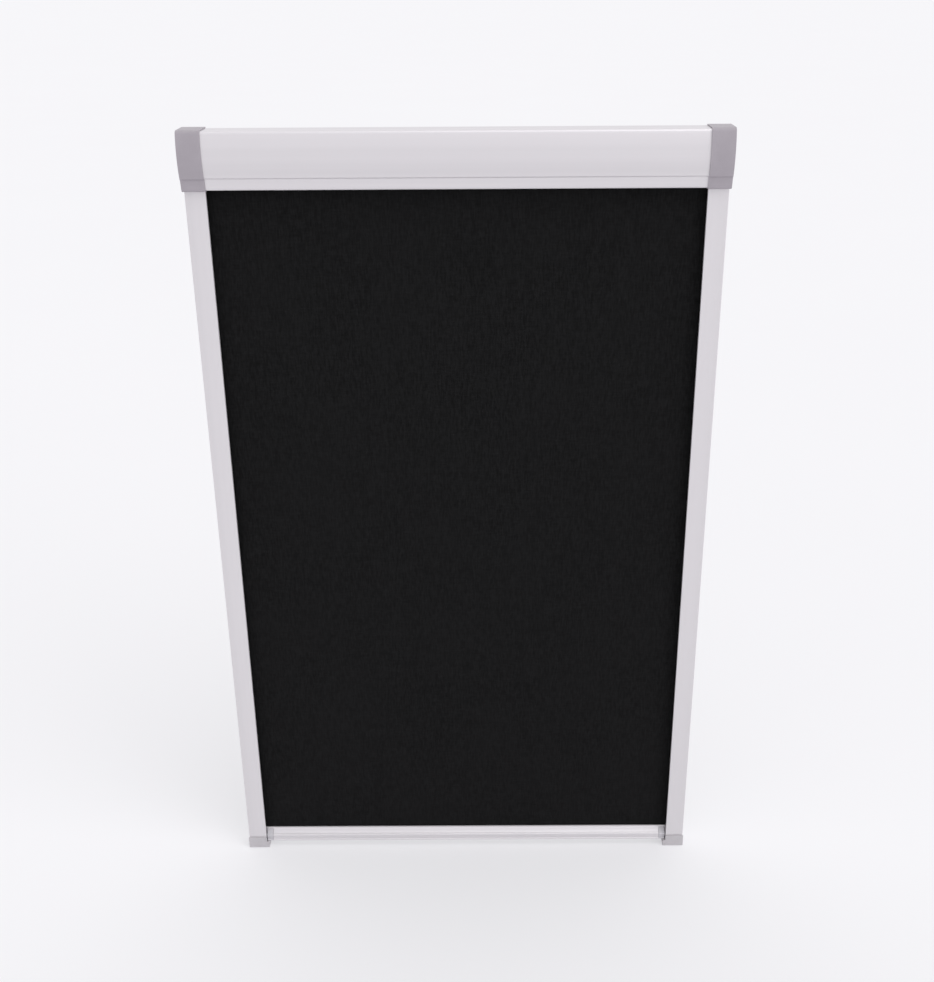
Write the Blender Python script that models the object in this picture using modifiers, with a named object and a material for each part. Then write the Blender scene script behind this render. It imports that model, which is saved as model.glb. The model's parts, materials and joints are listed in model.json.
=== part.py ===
"""Cassette roller blackout blind for a roof window, seen here fully drawn down.

Metres, +Z up along the drop, the room on the -Y side and the glass on the +Y side.
The origin is the middle of the cassette's flat back.
Left is -X, as seen from the room.
"""
import math

import bmesh
import bpy
from mathutils import Matrix, Vector

# Overall size
outer_width = 0.607
outer_height = 0.9715
gap = 0.0003

# Cassette: a curved fascia that snaps over a back profile
cassette_height = 0.0637
cassette_wall = 0.0014
crown_depth = 0.036
crown_height = 0.044
brow_setback = 0.0024
brow_radius = 0.0035
knee_setback = 0.0032
knee_rise = 0.0014
lip_height = 0.0126
lip_head_setback = 0.005
lip_foot_setback = 0.0072
lip_foot_radius = 0.0018
lip_return = 0.0042
fascia_back_clearance = 0.0006
extrusion_end_clearance = 0.0008
top_flange_depth = 0.0126
top_flange_wall = 0.0016
hook_toe = 0.0015
hook_wall = 0.0013
holder_wall = 0.001
holder_brush_reach = 0.0015

# End caps
cap_skirt = 0.001
cap_width = 0.0265
cap_plate = 0.0035
cap_edge_round = 0.0014
spigot_length = 0.005
spigot_head = 0.0025
spigot_width = 0.0125
tower_radius = 0.003
boss_radius = 0.005
boss_length = 0.0055
socket_wall = 0.002

# Screws that hold the end caps on the back profile
port_bore_radius = 0.0015
port_wall = 0.0013
port_slit = 0.0014
port_inset = 0.0031
upper_port_drop = 0.0064
lower_port_height = 0.017
screw_radius = 0.0012
screw_head_radius = 0.0029
screw_head_inset = 0.0002
screw_length = 0.026
screw_recess_radius = 0.001
screw_recess_depth = 0.0008

# Sash brackets
bracket_thickness = 0.0015
bracket_depth = 0.013
bracket_screw_clearance = 0.0044
bracket_corner = 0.0015
bracket_tab_height = 0.006
bracket_tab_reach = 0.0025
bracket_hole_radius = 0.0019
bracket_hole_end = 0.0042
bracket_hole_inset = 0.006
bracket_sink = 0.0012

# Side channels
channel_face = 0.0237
channel_depth = 0.022
channel_wall = 0.0014
channel_inset = 0.0008
channel_outer_round = 0.0009
channel_inner_round = 0.0005
slot_side_wall = 0.0009
fixing_hole_radius = 0.0018
fixing_sink = 0.0011
fixing_end_distance = 0.075
fixing_count = 3

# T-shaped grooves and the pile strips in them
slot_lip = 0.0009
slot_depth = 0.0013
channel_slot_width = 0.0056
channel_slot_mouth = 0.004
seal_slot_width = 0.0042
seal_slot_mouth = 0.0024
pile_clearance = 0.0005
bar_seal_drop = 0.005

# Feet under the channels
foot_height = 0.017
foot_skirt = 0.0009
foot_floor = 0.0012
foot_stop_height = 0.0083
foot_corner = 0.0008
toe_reach = 0.0034
foot_plug_width = 0.014

# Fabric
fabric_thickness = 0.0003
fabric_plane = -0.0104
fabric_setback = 0.0006

# Roller
roller_height = 0.0355
roller_end_clearance = 0.0007
tube_radius = 0.0085
tube_wall = 0.0008
wrap_thickness = 0.0007
keyhole_radius = 0.0008
keyhole_slit = 0.0007
keyhole_cover = 0.0005
keyhole_wall = 0.0007
plug_flange = 0.0015
idler_plug_length = 0.018
idler_pin_radius = 0.002
idler_pin_length = 0.022
bush_wall = 0.0014
drive_plug_length = 0.02
shaft_radius = 0.0025
shaft_length = 0.26
hex_clearance = 0.00035
spring_radius = 0.0046
spring_wire_radius = 0.0006
spring_turns = 16
spring_nose_length = 0.008
collar_length = 0.012
collar_flange = 0.0015
collar_flange_rise = 0.0016

# Bottom bar, its depths measured from the fabric plane
bar_height = 0.0179
bar_flange_half = 0.0022
bar_flange_height = 0.0063
bar_shoulder_drop = 0.0015
bar_wall = 0.0011
bar_nose_reach = 0.0094
bar_nose_radius = 0.0027
bar_nose_height = 0.0082
bar_lean = math.radians(9)
bar_bead_height = 0.0024
bar_bead_reach = 0.0092
bar_bead_round = 0.0007
bar_groove_radius = 0.0014
bar_groove_drop = 0.0039
bar_slit = 0.0011
bar_seal_setback = 0.0015

# End plugs of the bar, with the sliders and brakes that run in the channels
end_plug_face = 0.0082
end_plug_clearance = 0.001
end_plug_spigot = 0.014
end_plug_neck = 0.0038
end_plug_neck_foot = 0.0006
slider_thickness = 0.0127
slider_clearance = 0.0004
slider_height = 0.0172
slider_chamfer = 0.0012
brake_pocket_depth = 0.004
brake_pocket_height = 0.0124
brake_pocket_width = 0.009
brake_spring_thickness = 0.0004
brake_spring_width = 0.007
brake_pad_thickness = 0.0018

# Smoothness of round forms
round_steps = 32
turn_steps = 32
spring_points_per_turn = 9
cutter_reach = 0.002

# Places worked out from the sizes
half_width = outer_width / 2
cassette_top = cassette_height / 2
cassette_bottom = -cassette_height / 2
top_flange_top = cassette_top - cassette_wall - gap
top_flange_foot = top_flange_top - top_flange_wall
upper_port_height = top_flange_foot - upper_port_drop - cassette_bottom
cap_top = cassette_top + gap + cap_skirt
foot_bottom = cap_top - outer_height
cap_inner = half_width - cap_width
cap_plate_inside = half_width - cap_plate
bracket_inside = half_width - bracket_thickness
channel_outside = half_width - channel_inset
channel_inside = channel_outside - channel_face
channel_cavity = channel_outside - channel_wall
channel_middle = -channel_depth / 2
channel_top = cassette_bottom - gap
channel_bottom = foot_bottom + foot_floor + gap
spigot_outside = channel_cavity - gap
spigot_inside = spigot_outside - spigot_width
extrusion_half = spigot_inside - extrusion_end_clearance
slider_outside = channel_cavity - slider_clearance
slider_inside = slider_outside - slider_thickness
bar_flange_end = slider_inside - 2 * gap
bar_half = channel_inside - end_plug_clearance - end_plug_face - gap
bar_bottom = foot_bottom + foot_stop_height + gap
fabric_half = bar_flange_end - fabric_setback
fabric_back = fabric_plane + fabric_thickness / 2
fabric_front = fabric_plane - fabric_thickness / 2
roll_radius = tube_radius + gap + wrap_thickness
roller_y = fabric_front - gap - roll_radius
roller_z = cassette_bottom + roller_height
roller_face = cap_plate_inside - boss_length - roller_end_clearance
tube_half = roller_face - plug_flange - gap
tube_bore = tube_radius - tube_wall
keyhole_depth = tube_radius - keyhole_cover - keyhole_radius
plug_radius = tube_bore - gap

# The bracket stands midway between the cap's two screws
port_spacing = upper_port_height - lower_port_height
bracket_middle = cassette_bottom + lower_port_height + port_spacing / 2
bracket_height = port_spacing - 2 * (screw_head_radius + bracket_screw_clearance)
bracket_hole_spacing = bracket_height - 2 * bracket_hole_end

# The cassette's pile strip lies in a holder behind the fabric
holder_height = seal_slot_width + 2 * holder_wall
holder_middle = cassette_bottom + holder_height / 2
holder_front = fabric_back + gap + holder_brush_reach
holder_back = holder_front + slot_lip + slot_depth + holder_wall

# The bar's section, as depth from the fabric plane and height
bar_groove_height = bar_height - bar_groove_drop
bar_spline_radius = bar_groove_radius - gap
bar_shoulder = bar_height - bar_shoulder_drop
flange_foot = bar_height - bar_flange_height
nose_centre = (bar_nose_radius - bar_nose_reach, bar_nose_height)
to_shoulder = Vector((-bar_flange_half, bar_shoulder)) - Vector(nose_centre)
slope_angle = math.atan2(to_shoulder.y, to_shoulder.x) + math.acos(bar_nose_radius / to_shoulder.length)


def remove_everything():
    """Empty the file of objects, so that the model starts alone."""
    for old in list(bpy.data.objects):
        bpy.data.objects.remove(old, do_unlink=True)


def new_collection(name):
    """A collection linked to the scene."""
    made = bpy.data.collections.new(name)
    bpy.context.scene.collection.children.link(made)
    return made


def new_material(name, colour, roughness, metallic=0.0):
    """A Principled material of one colour and finish."""
    made = bpy.data.materials.new(name)
    made.use_nodes = True
    shader = made.node_tree.nodes["Principled BSDF"]
    shader.inputs["Base Color"].default_value = (*colour, 1.0)
    shader.inputs["Roughness"].default_value = roughness
    shader.inputs["Metallic"].default_value = metallic
    made.diffuse_color = (*colour, 1.0)
    return made


remove_everything()
parts = new_collection("roof_window_blind")
cutters = new_collection("cutters")

satin_aluminium = new_material("satin_aluminium", (0.78, 0.76, 0.78), 0.38, 0.6)
grey_plastic = new_material("grey_plastic", (0.36, 0.34, 0.37), 0.5)
foot_plastic = new_material("foot_plastic", (0.48, 0.46, 0.49), 0.5)
nylon = new_material("nylon", (0.62, 0.62, 0.62), 0.45)
zinc_steel = new_material("zinc_steel", (0.62, 0.63, 0.65), 0.35, 1.0)
spring_steel = new_material("spring_steel", (0.45, 0.45, 0.47), 0.4, 1.0)
grey_pile = new_material("grey_pile", (0.12, 0.12, 0.13), 0.95)
black_fabric = new_material("black_fabric", (0.012, 0.012, 0.013), 0.9)
spline_vinyl = new_material("spline_vinyl", (0.7, 0.7, 0.68), 0.6)
felt = new_material("felt", (0.05, 0.05, 0.055), 1.0)


def pivot(name, location):
    """An empty on a joint's axis, which carries the pieces that move there."""
    made = bpy.data.objects.new(name, None)
    made.location = location
    parts.objects.link(made)
    return made


bar_carriage = pivot("bar_carriage", (0.0, fabric_plane, bar_bottom))
roller_axis = pivot("roller_axis", (0.0, roller_y, roller_z))


# Outlines


def arc(centre, radius, start, end, steps):
    """Points along an arc, its angles in degrees."""
    angles = [math.radians(start + (end - start) * i / steps) for i in range(steps + 1)]
    return [(centre[0] + radius * math.cos(a), centre[1] + radius * math.sin(a)) for a in angles]


def arc_through(first, middle, last, steps):
    """Points along the circle through three points."""
    (ax, ay), (bx, by), (cx, cy) = first, middle, last
    twice_area = 2 * (ax * (by - cy) + bx * (cy - ay) + cx * (ay - by))
    a2, b2, c2 = ax * ax + ay * ay, bx * bx + by * by, cx * cx + cy * cy
    ox = (a2 * (by - cy) + b2 * (cy - ay) + c2 * (ay - by)) / twice_area
    oy = (a2 * (cx - bx) + b2 * (ax - cx) + c2 * (bx - ax)) / twice_area
    start = math.atan2(ay - oy, ax - ox)
    end = math.atan2(cy - oy, cx - ox)
    sweep = (end - start + math.pi) % (2 * math.pi) - math.pi
    radius = math.hypot(ax - ox, ay - oy)
    return arc((ox, oy), radius, math.degrees(start), math.degrees(start + sweep), steps)


def rounded(points, steps=3, closed=False):
    """A line whose corners are rounded where a point carries a radius as its third value."""
    count = len(points)
    line = []
    for i, point in enumerate(points):
        radius = point[2] if len(point) > 2 else 0.0
        if radius == 0.0 or (not closed and i in (0, count - 1)):
            line.append((point[0], point[1]))
            continue
        here = Vector(point[:2])
        before = (Vector(points[i - 1][:2]) - here).normalized()
        after = (Vector(points[(i + 1) % count][:2]) - here).normalized()
        half = before.angle(after) / 2
        reach = radius / math.tan(half)
        middle = here + (before + after).normalized() * (radius / math.sin(half) - radius)
        line += arc_through(here + before * reach, middle, here + after * reach, steps)
    return line


def parallel(line, distance):
    """The line moved sideways by a distance, to its right as it runs."""
    moved = []
    for i, point in enumerate(line):
        here = Vector(point)
        normals = []
        for a, b in ((i - 1, i), (i, i + 1)):
            if a >= 0 and b < len(line):
                run = (Vector(line[b]) - Vector(line[a])).normalized()
                normals.append(Vector((run.y, -run.x)))
        side = sum(normals, Vector((0.0, 0.0))).normalized()
        moved.append(tuple(here + side * (distance / side.dot(normals[0]))))
    return moved


def swapped(line):
    """The same outline with its two coordinates exchanged."""
    return [(b, a) for a, b in line]


def signed_area(line):
    return sum(a[0] * b[1] - b[0] * a[1] for a, b in zip(line, line[1:] + line[:1])) / 2


def slot_line(centre, face, width, mouth, inward):
    """A T-shaped groove that opens at a face, as (across the face, through it)."""
    half, half_mouth = width / 2, mouth / 2
    under_lip = face + inward * slot_lip
    floor = under_lip + inward * slot_depth
    return [
        (centre - half_mouth, face),
        (centre - half_mouth, under_lip),
        (centre - half, under_lip),
        (centre - half, floor),
        (centre + half, floor),
        (centre + half, under_lip),
        (centre + half_mouth, under_lip),
        (centre + half_mouth, face),
    ]


def strip_line(centre, face, width, mouth, inward, tip):
    """A strip whose base lies in such a groove and whose blade stands out of it to a tip."""
    half, half_mouth = width / 2 - gap, mouth / 2 - gap
    base_top = face + inward * (slot_lip + gap)
    base_bottom = face + inward * (slot_lip + slot_depth - gap)
    return [
        (centre - half, base_bottom),
        (centre + half, base_bottom),
        (centre + half, base_top),
        (centre + half_mouth, base_top),
        (centre + half_mouth, tip),
        (centre - half_mouth, tip),
        (centre - half_mouth, base_top),
        (centre - half, base_top),
    ]


# Making and joining pieces


def side_name(side):
    return "left" if side < 0 else "right"


def hold(piece, carrier):
    """Parent a piece that is already in place to its carrier."""
    if carrier is not None:
        piece.parent = carrier
        piece.matrix_parent_inverse = Matrix.Translation(carrier.location).inverted()
    return piece


def link_piece(name, data, material, carrier=None):
    """Put new object data in the model as a named piece."""
    piece = bpy.data.objects.new(name, data)
    data.materials.append(material)
    parts.objects.link(piece)
    return hold(piece, carrier)


def smooth(mesh):
    """Smooth shading, with the sharp edges kept."""
    mesh.shade_smooth()
    mesh.set_sharp_from_angle(angle=math.radians(35))


def profile_curve(name, outlines, thickness, material, carrier):
    """A flat outline, with any holes, thickened to both sides of its plane."""
    curve = bpy.data.curves.new(name, "CURVE")
    curve.dimensions = "2D"
    curve.fill_mode = "BOTH"
    curve.extrude = thickness / 2
    for i, outline in enumerate(outlines):
        wanted = 1 if i == 0 else -1
        points = outline if signed_area(outline) * wanted > 0 else outline[::-1]
        spline = curve.splines.new("POLY")
        spline.points.add(len(points) - 1)
        for target, (a, b) in zip(spline.points, points):
            target.co = (a, b, 0.0, 1.0)
        spline.use_cyclic_u = True
    return link_piece(name, curve, material, carrier)


def along_x(name, outlines, x_from, x_to, material=grey_plastic, carrier=None):
    """An extrusion along X, its outlines given as (y, z)."""
    piece = profile_curve(name, outlines, abs(x_to - x_from), material, carrier)
    piece.location = ((x_from + x_to) / 2, 0.0, 0.0)
    piece.rotation_euler = (math.pi / 2, 0.0, math.pi / 2)
    return piece


def along_y(name, outlines, y_from, y_to, material=grey_plastic, carrier=None):
    """An extrusion along Y, its outlines given as (x, z)."""
    piece = profile_curve(name, outlines, abs(y_to - y_from), material, carrier)
    piece.location = (0.0, (y_from + y_to) / 2, 0.0)
    piece.rotation_euler = (math.pi / 2, 0.0, 0.0)
    return piece


def along_z(name, outlines, z_from, z_to, material=grey_plastic, carrier=None):
    """An extrusion along Z, its outlines given as (x, y)."""
    piece = profile_curve(name, outlines, abs(z_to - z_from), material, carrier)
    piece.location = (0.0, 0.0, (z_from + z_to) / 2)
    return piece


def made_solid(curve_piece):
    """Turn a curve into a welded mesh, so that it can be cut."""
    bpy.context.view_layer.update()
    evaluated = curve_piece.evaluated_get(bpy.context.evaluated_depsgraph_get())
    mesh = bpy.data.meshes.new_from_object(evaluated)
    name, place = curve_piece.name, curve_piece.matrix_world.copy()
    carrier = curve_piece.parent
    bpy.data.objects.remove(curve_piece, do_unlink=True)
    weld = bmesh.new()
    weld.from_mesh(mesh)
    bmesh.ops.remove_doubles(weld, verts=weld.verts, dist=0.00001)
    bmesh.ops.recalc_face_normals(weld, faces=weld.faces)
    weld.to_mesh(mesh)
    weld.free()
    piece = bpy.data.objects.new(name, mesh)
    parts.objects.link(piece)
    piece.matrix_world = place
    return hold(piece, carrier)


def block(name, corner, opposite, material=grey_plastic, carrier=None):
    """A box between two corners."""
    low = Vector([min(a, b) for a, b in zip(corner, opposite)])
    high = Vector([max(a, b) for a, b in zip(corner, opposite)])
    mesh = bpy.data.meshes.new(name)
    shape = bmesh.new()
    bmesh.ops.create_cube(shape, size=1.0, matrix=Matrix.Diagonal((*(high - low), 1.0)))
    shape.to_mesh(mesh)
    shape.free()
    piece = link_piece(name, mesh, material)
    piece.location = (low + high) / 2
    return hold(piece, carrier)


def bar_along_x(name, place, radius, x_from, x_to, end_radius=None, sides=round_steps, look=None):
    """A round or many-sided bar along X at (y, z), or a cone if its far end has another radius."""
    mesh = bpy.data.meshes.new(name)
    shape = bmesh.new()
    bmesh.ops.create_cone(
        shape,
        cap_ends=True,
        segments=sides,
        radius1=radius,
        radius2=radius if end_radius is None else end_radius,
        depth=abs(x_to - x_from),
    )
    shape.to_mesh(mesh)
    shape.free()
    smooth(mesh)
    piece = link_piece(name, mesh, look or grey_plastic)
    piece.location = ((x_from + x_to) / 2, *place)
    piece.rotation_euler = (0.0, math.copysign(math.pi / 2, x_to - x_from), 0.0)
    return piece


def turned_x(name, profile, place, facing, material=grey_plastic, carrier=None):
    """A turned piece on an axis along X.

    The profile is a line of (distance along the axis, radius) whose outer side runs from
    the far end back to the start. It closes on itself unless it starts and ends on the axis.
    Facing is +1 or -1 along X.
    """
    mesh = bpy.data.meshes.new(name)
    shape = bmesh.new()
    line = [shape.verts.new((radius, 0.0, along)) for along, radius in profile]
    if profile[0][1] > 0.0:
        line.append(line[0])
    for first, second in zip(line, line[1:]):
        shape.edges.new((first, second))
    shape.to_mesh(mesh)
    shape.free()
    piece = link_piece(name, mesh, material)
    turn = piece.modifiers.new("turn", "SCREW")
    turn.steps = turn_steps
    turn.render_steps = turn_steps
    turn.use_merge_vertices = True
    turn.merge_threshold = 0.00001
    turn.use_smooth_shade = True
    piece.location = place
    piece.rotation_euler = (0.0, facing * math.pi / 2, 0.0)
    return hold(piece, carrier)


def boolean(piece, tool, operation):
    """Cut a piece with a tool, or join the tool's shape to it."""
    parts.objects.unlink(tool)
    cutters.objects.link(tool)
    tool.hide_render = True
    tool.display_type = "WIRE"
    modifier = piece.modifiers.new(f"{operation.lower()}_{tool.name}", "BOOLEAN")
    modifier.object = tool
    modifier.operation = operation
    modifier.solver = "EXACT"


def cut(piece, tool):
    boolean(piece, tool, "DIFFERENCE")


def join(piece, tool):
    boolean(piece, tool, "UNION")


def countersink(piece, place, facing, bore, sink, depth):
    """Drill a hole along X from a face that looks towards facing, opened out at its mouth."""
    profile = [
        (depth + cutter_reach, 0.0),
        (depth + cutter_reach, bore),
        (sink + cutter_reach, bore),
        (0.0, bore + sink + cutter_reach),
        (0.0, 0.0),
    ]
    start = (place[0] + facing * cutter_reach, place[1], place[2])
    cut(piece, turned_x(f"{piece.name}_hole", profile, start, -facing))


def bevel(piece, width, segments=2):
    """Round the edges of a piece."""
    modifier = piece.modifiers.new("rounded_edges", "BEVEL")
    modifier.width = width
    modifier.segments = segments
    modifier.limit_method = "ANGLE"
    return piece


# Cassette


def cassette_line(first_y, last_y):
    """Outer line of the cassette, from under the lip, up the front and back over the top."""
    crown = -crown_depth
    lip_foot = (crown + lip_foot_setback, cassette_bottom, lip_foot_radius)
    lip_head = (crown + lip_head_setback, cassette_bottom + lip_height)
    knee = (crown + knee_setback, cassette_bottom + lip_height + knee_rise)
    fullest = (crown, cassette_bottom + crown_height)
    brow = (crown + brow_setback, cassette_top - brow_radius)
    under_lip = rounded([(first_y, cassette_bottom), lip_foot, lip_head])
    front = arc_through(knee, fullest, brow, 10)
    corner = arc((brow[0] + brow_radius, brow[1]), brow_radius, 180, 90, 4)
    return under_lip + front + corner[1:] + [(last_y, cassette_top)]


def build_fascia():
    """Front, lip and top of the cassette in one wall, with the snap hook under its top."""
    lip_end = -crown_depth + lip_foot_setback + lip_return
    outside = cassette_line(lip_end, -fascia_back_clearance)
    inside = parallel(outside, cassette_wall)
    under_top = cassette_top - cassette_wall
    hook_back = -top_flange_depth - gap
    hook_front = hook_back - hook_wall
    toe_top = top_flange_foot - gap
    toe_bottom = toe_top - hook_wall
    hook = [
        (hook_front, under_top),
        (hook_front, toe_bottom),
        (hook_back + hook_toe, toe_bottom),
        (hook_back + hook_toe, toe_top),
        (hook_back, toe_top),
        (hook_back, under_top),
    ]
    inside = inside[:-1] + hook + inside[-1:]
    outline = outside + inside[::-1]
    return along_x("cassette_fascia", [outline], -extrusion_half, extrusion_half, satin_aluminium)


def port_line(height):
    """An open screw port on the front of the back wall, from its top to its foot."""
    outer = port_bore_radius + port_wall
    start = math.degrees(math.acos((port_inset - cassette_wall) / outer))
    slit_outside = math.degrees(math.asin(port_slit / 2 / outer))
    slit_inside = math.degrees(math.asin(port_slit / 2 / port_bore_radius))
    centre = (-port_inset, cassette_bottom + height)
    over = arc(centre, outer, start, 180 - slit_outside, 6)
    bore = arc(centre, port_bore_radius, 180 - slit_inside, slit_inside - 180, 16)
    under = arc(centre, outer, 180 + slit_outside, 360 - start, 6)
    return over + bore + under


def build_back_profile():
    """Back wall of the cassette with its top flange, two screw ports and the seal holder."""
    groove = slot_line(holder_middle, holder_front, seal_slot_width, seal_slot_mouth, 1)
    outline = [
        (0.0, cassette_bottom),
        (0.0, top_flange_top),
        (-top_flange_depth, top_flange_top),
        (-top_flange_depth, top_flange_foot),
        (-cassette_wall, top_flange_foot),
    ]
    outline += port_line(upper_port_height)
    outline += port_line(lower_port_height)
    outline += [
        (-cassette_wall, cassette_bottom + cassette_wall),
        (holder_back, cassette_bottom + cassette_wall),
        (holder_back, cassette_bottom + holder_height),
        (holder_front, cassette_bottom + holder_height),
    ]
    outline += swapped(groove)[::-1]
    outline += [(holder_front, cassette_bottom)]
    return along_x("cassette_back", [outline], -extrusion_half, extrusion_half, satin_aluminium)


def build_cassette_seal():
    """Pile strip that wipes the back of the fabric where it leaves the cassette."""
    tip = holder_front - holder_brush_reach
    section = strip_line(holder_middle, holder_front, seal_slot_width, seal_slot_mouth, 1, tip)
    return along_x("cassette_seal", [swapped(section)], -extrusion_half, extrusion_half, grey_pile)


# End caps


def round_rim(cap, side, rim_line):
    """Round the outer rim of a cap where it follows the given line."""
    mesh = cap.data
    weights = mesh.attributes.new("bevel_weight_edge", "FLOAT", "EDGE")
    face = side * cap_width / 2
    for edge in mesh.edges:
        a, b = (mesh.vertices[i].co for i in edge.vertices)
        on_face = abs(a.z - face) < gap / 10 and abs(b.z - face) < gap / 10
        middle = (a + b) / 2
        near = min((middle.xy - (Vector(p) + Vector(q)) / 2).length for p, q in zip(rim_line, rim_line[1:]))
        if on_face and near < gap / 10:
            weights.data[edge.index].value = 1.0
    modifier = cap.modifiers.new("rounded_rim", "BEVEL")
    modifier.width = cap_edge_round
    modifier.segments = 3
    modifier.limit_method = "WEIGHT"


def screw_place(height):
    return (-port_inset, cassette_bottom + height)


def build_end_cap(side):
    """Moulded end cap: a plate with a skirt over the extrusions, and the fittings inside it."""
    tag = side_name(side)
    plate_in = side * cap_plate_inside
    plate_out = side * half_width
    sunk = side * gap
    beyond = side * (half_width + cutter_reach)

    notch = -channel_depth - gap
    outside = parallel(cassette_line(notch, 0.0), -gap - cap_skirt)
    shell = outside + [(0.0, cassette_bottom), (notch, cassette_bottom)]
    cap = made_solid(along_x(f"end_cap_{tag}", [shell], side * cap_inner, plate_out))
    round_rim(cap, side, outside)

    inside = parallel(cassette_line(notch + cutter_reach, cutter_reach), -gap)
    inside.append((cutter_reach, inside[0][1]))
    mouth = side * (cap_inner - cutter_reach)
    cut(cap, made_solid(along_x(f"cap_cavity_{tag}", [inside], mouth, plate_in)))

    for height in (upper_port_height, lower_port_height):
        foot = side * (extrusion_half + gap)
        join(cap, bar_along_x(f"cap_tower_{tag}", screw_place(height), tower_radius, foot, plate_in + sunk))
    roller_place = (roller_y, roller_z)
    boss_end = plate_in - side * boss_length
    join(cap, bar_along_x(f"cap_boss_{tag}", roller_place, boss_radius, boss_end, plate_in + sunk))
    plug_front = -channel_depth + channel_wall + gap
    spigot = block(
        f"cap_spigot_{tag}",
        (side * spigot_outside, plug_front, cassette_bottom - spigot_length),
        (side * spigot_inside, -channel_wall - gap, cassette_bottom + spigot_head),
    )
    join(cap, spigot)

    bore = screw_radius + gap
    for height in (upper_port_height, lower_port_height):
        sink = screw_head_radius - screw_radius + screw_head_inset + gap / 2
        countersink(cap, (plate_out, *screw_place(height)), side, bore, sink, cap_width)
    socket_end = plate_out - side * socket_wall
    if side < 0:
        axle = bar_along_x("pin_bore", roller_place, idler_pin_radius + gap, boss_end + sunk * -2, socket_end)
    else:
        radius = shaft_radius + hex_clearance
        axle = bar_along_x("shaft_socket", roller_place, radius, boss_end - sunk, socket_end, sides=6)
    cut(cap, axle)

    half_recess = bracket_height / 2 + gap
    recess = block(
        f"bracket_recess_{tag}",
        (side * (bracket_inside - gap), -bracket_depth - gap, bracket_middle - half_recess),
        (beyond, cutter_reach, bracket_middle + half_recess),
    )
    cut(cap, recess)
    half_slot = bracket_tab_height / 2 + gap
    slot = block(
        f"bracket_slot_{tag}",
        (side * (cap_plate_inside - gap), -bracket_depth - 2 * gap, bracket_middle - half_slot),
        (beyond, cutter_reach, bracket_middle + half_slot),
    )
    cut(cap, slot)


def build_cap_screw(side, level, height):
    """Countersunk screw through an end cap into a port of the back profile."""
    head = screw_head_radius - screw_radius
    profile = [
        (screw_length, 0.0),
        (screw_length, screw_radius),
        (head, screw_radius),
        (0.0, screw_head_radius),
        (0.0, screw_recess_radius),
        (screw_recess_depth, 0.0),
    ]
    place = (side * (half_width - screw_head_inset), *screw_place(height))
    turned_x(f"cap_screw_{side_name(side)}_{level}", profile, place, -side, zinc_steel)


def build_bracket(side):
    """Small steel bracket that is screwed to the sash, with a tab that the end cap hooks on."""
    tag = side_name(side)
    half = bracket_height / 2
    plate = rounded(
        [
            (0.0, bracket_middle - half, bracket_corner),
            (-bracket_depth, bracket_middle - half, bracket_corner),
            (-bracket_depth, bracket_middle + half, bracket_corner),
            (0.0, bracket_middle + half, bracket_corner),
        ],
        closed=True,
    )
    inner, outer = side * bracket_inside, side * half_width
    bracket = made_solid(along_x(f"bracket_{tag}", [plate], inner, outer, zinc_steel))
    tab_half = bracket_tab_height / 2
    tab = block(
        f"bracket_tab_{tag}",
        (inner - side * bracket_tab_reach, -bracket_depth, bracket_middle - tab_half),
        (inner + side * gap, -bracket_depth + bracket_thickness, bracket_middle + tab_half),
    )
    join(bracket, tab)
    for level in (-1, 1):
        place = (inner, -bracket_hole_inset, bracket_middle + level * bracket_hole_spacing / 2)
        depth = bracket_thickness + cutter_reach
        countersink(bracket, place, -side, bracket_hole_radius, bracket_sink, depth)


# Side channels


def build_channel(side):
    """Extruded guide channel, open towards the middle, with grooves for two pile strips."""
    tag = side_name(side)
    front, back = -channel_depth, 0.0
    front_floor, back_floor = front + channel_wall, back - channel_wall
    front_face = front_floor + slot_depth + slot_lip
    back_face = back_floor - slot_depth - slot_lip
    web = channel_face - channel_slot_width - 2 * slot_side_wall
    centre = channel_face - slot_side_wall - channel_slot_width / 2
    front_slot = slot_line(centre, front_face, channel_slot_width, channel_slot_mouth, -1)
    back_slot = slot_line(centre, back_face, channel_slot_width, channel_slot_mouth, 1)
    from_outside = rounded(
        [(0.0, back), (0.0, front, channel_outer_round), (channel_face, front, channel_inner_round)]
        + [(channel_face, front_face)]
    )
    from_outside += front_slot[::-1]
    from_outside += [
        (web, front_face),
        (web, front_floor),
        (channel_wall, front_floor),
        (channel_wall, back_floor),
        (web, back_floor),
        (web, back_face),
    ]
    from_outside += back_slot
    from_outside += [(channel_face, back_face), (channel_face, back)]

    def placed(line):
        return [(side * (channel_outside - u), y) for u, y in line]

    channel = along_z(
        f"channel_{tag}", [placed(from_outside)], channel_bottom, channel_top, satin_aluminium
    )
    channel = made_solid(channel)
    first = foot_bottom + fixing_end_distance
    last = cassette_bottom - fixing_end_distance
    for i in range(fixing_count):
        place = (side * channel_cavity, channel_middle, first + (last - first) * i / (fixing_count - 1))
        depth = channel_wall + cutter_reach
        countersink(channel, place, -side, fixing_hole_radius, fixing_sink, depth)

    tips = {
        "front": (front_face, -1, fabric_plane - bar_flange_half - pile_clearance),
        "back": (back_face, 1, fabric_plane + bar_flange_half + pile_clearance),
    }
    for row, (face, inward, tip) in tips.items():
        section = strip_line(centre, face, channel_slot_width, channel_slot_mouth, inward, tip)
        name = f"pile_seal_{row}_{tag}"
        along_z(name, [placed(section)], channel_bottom, channel_top, grey_pile)


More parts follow.
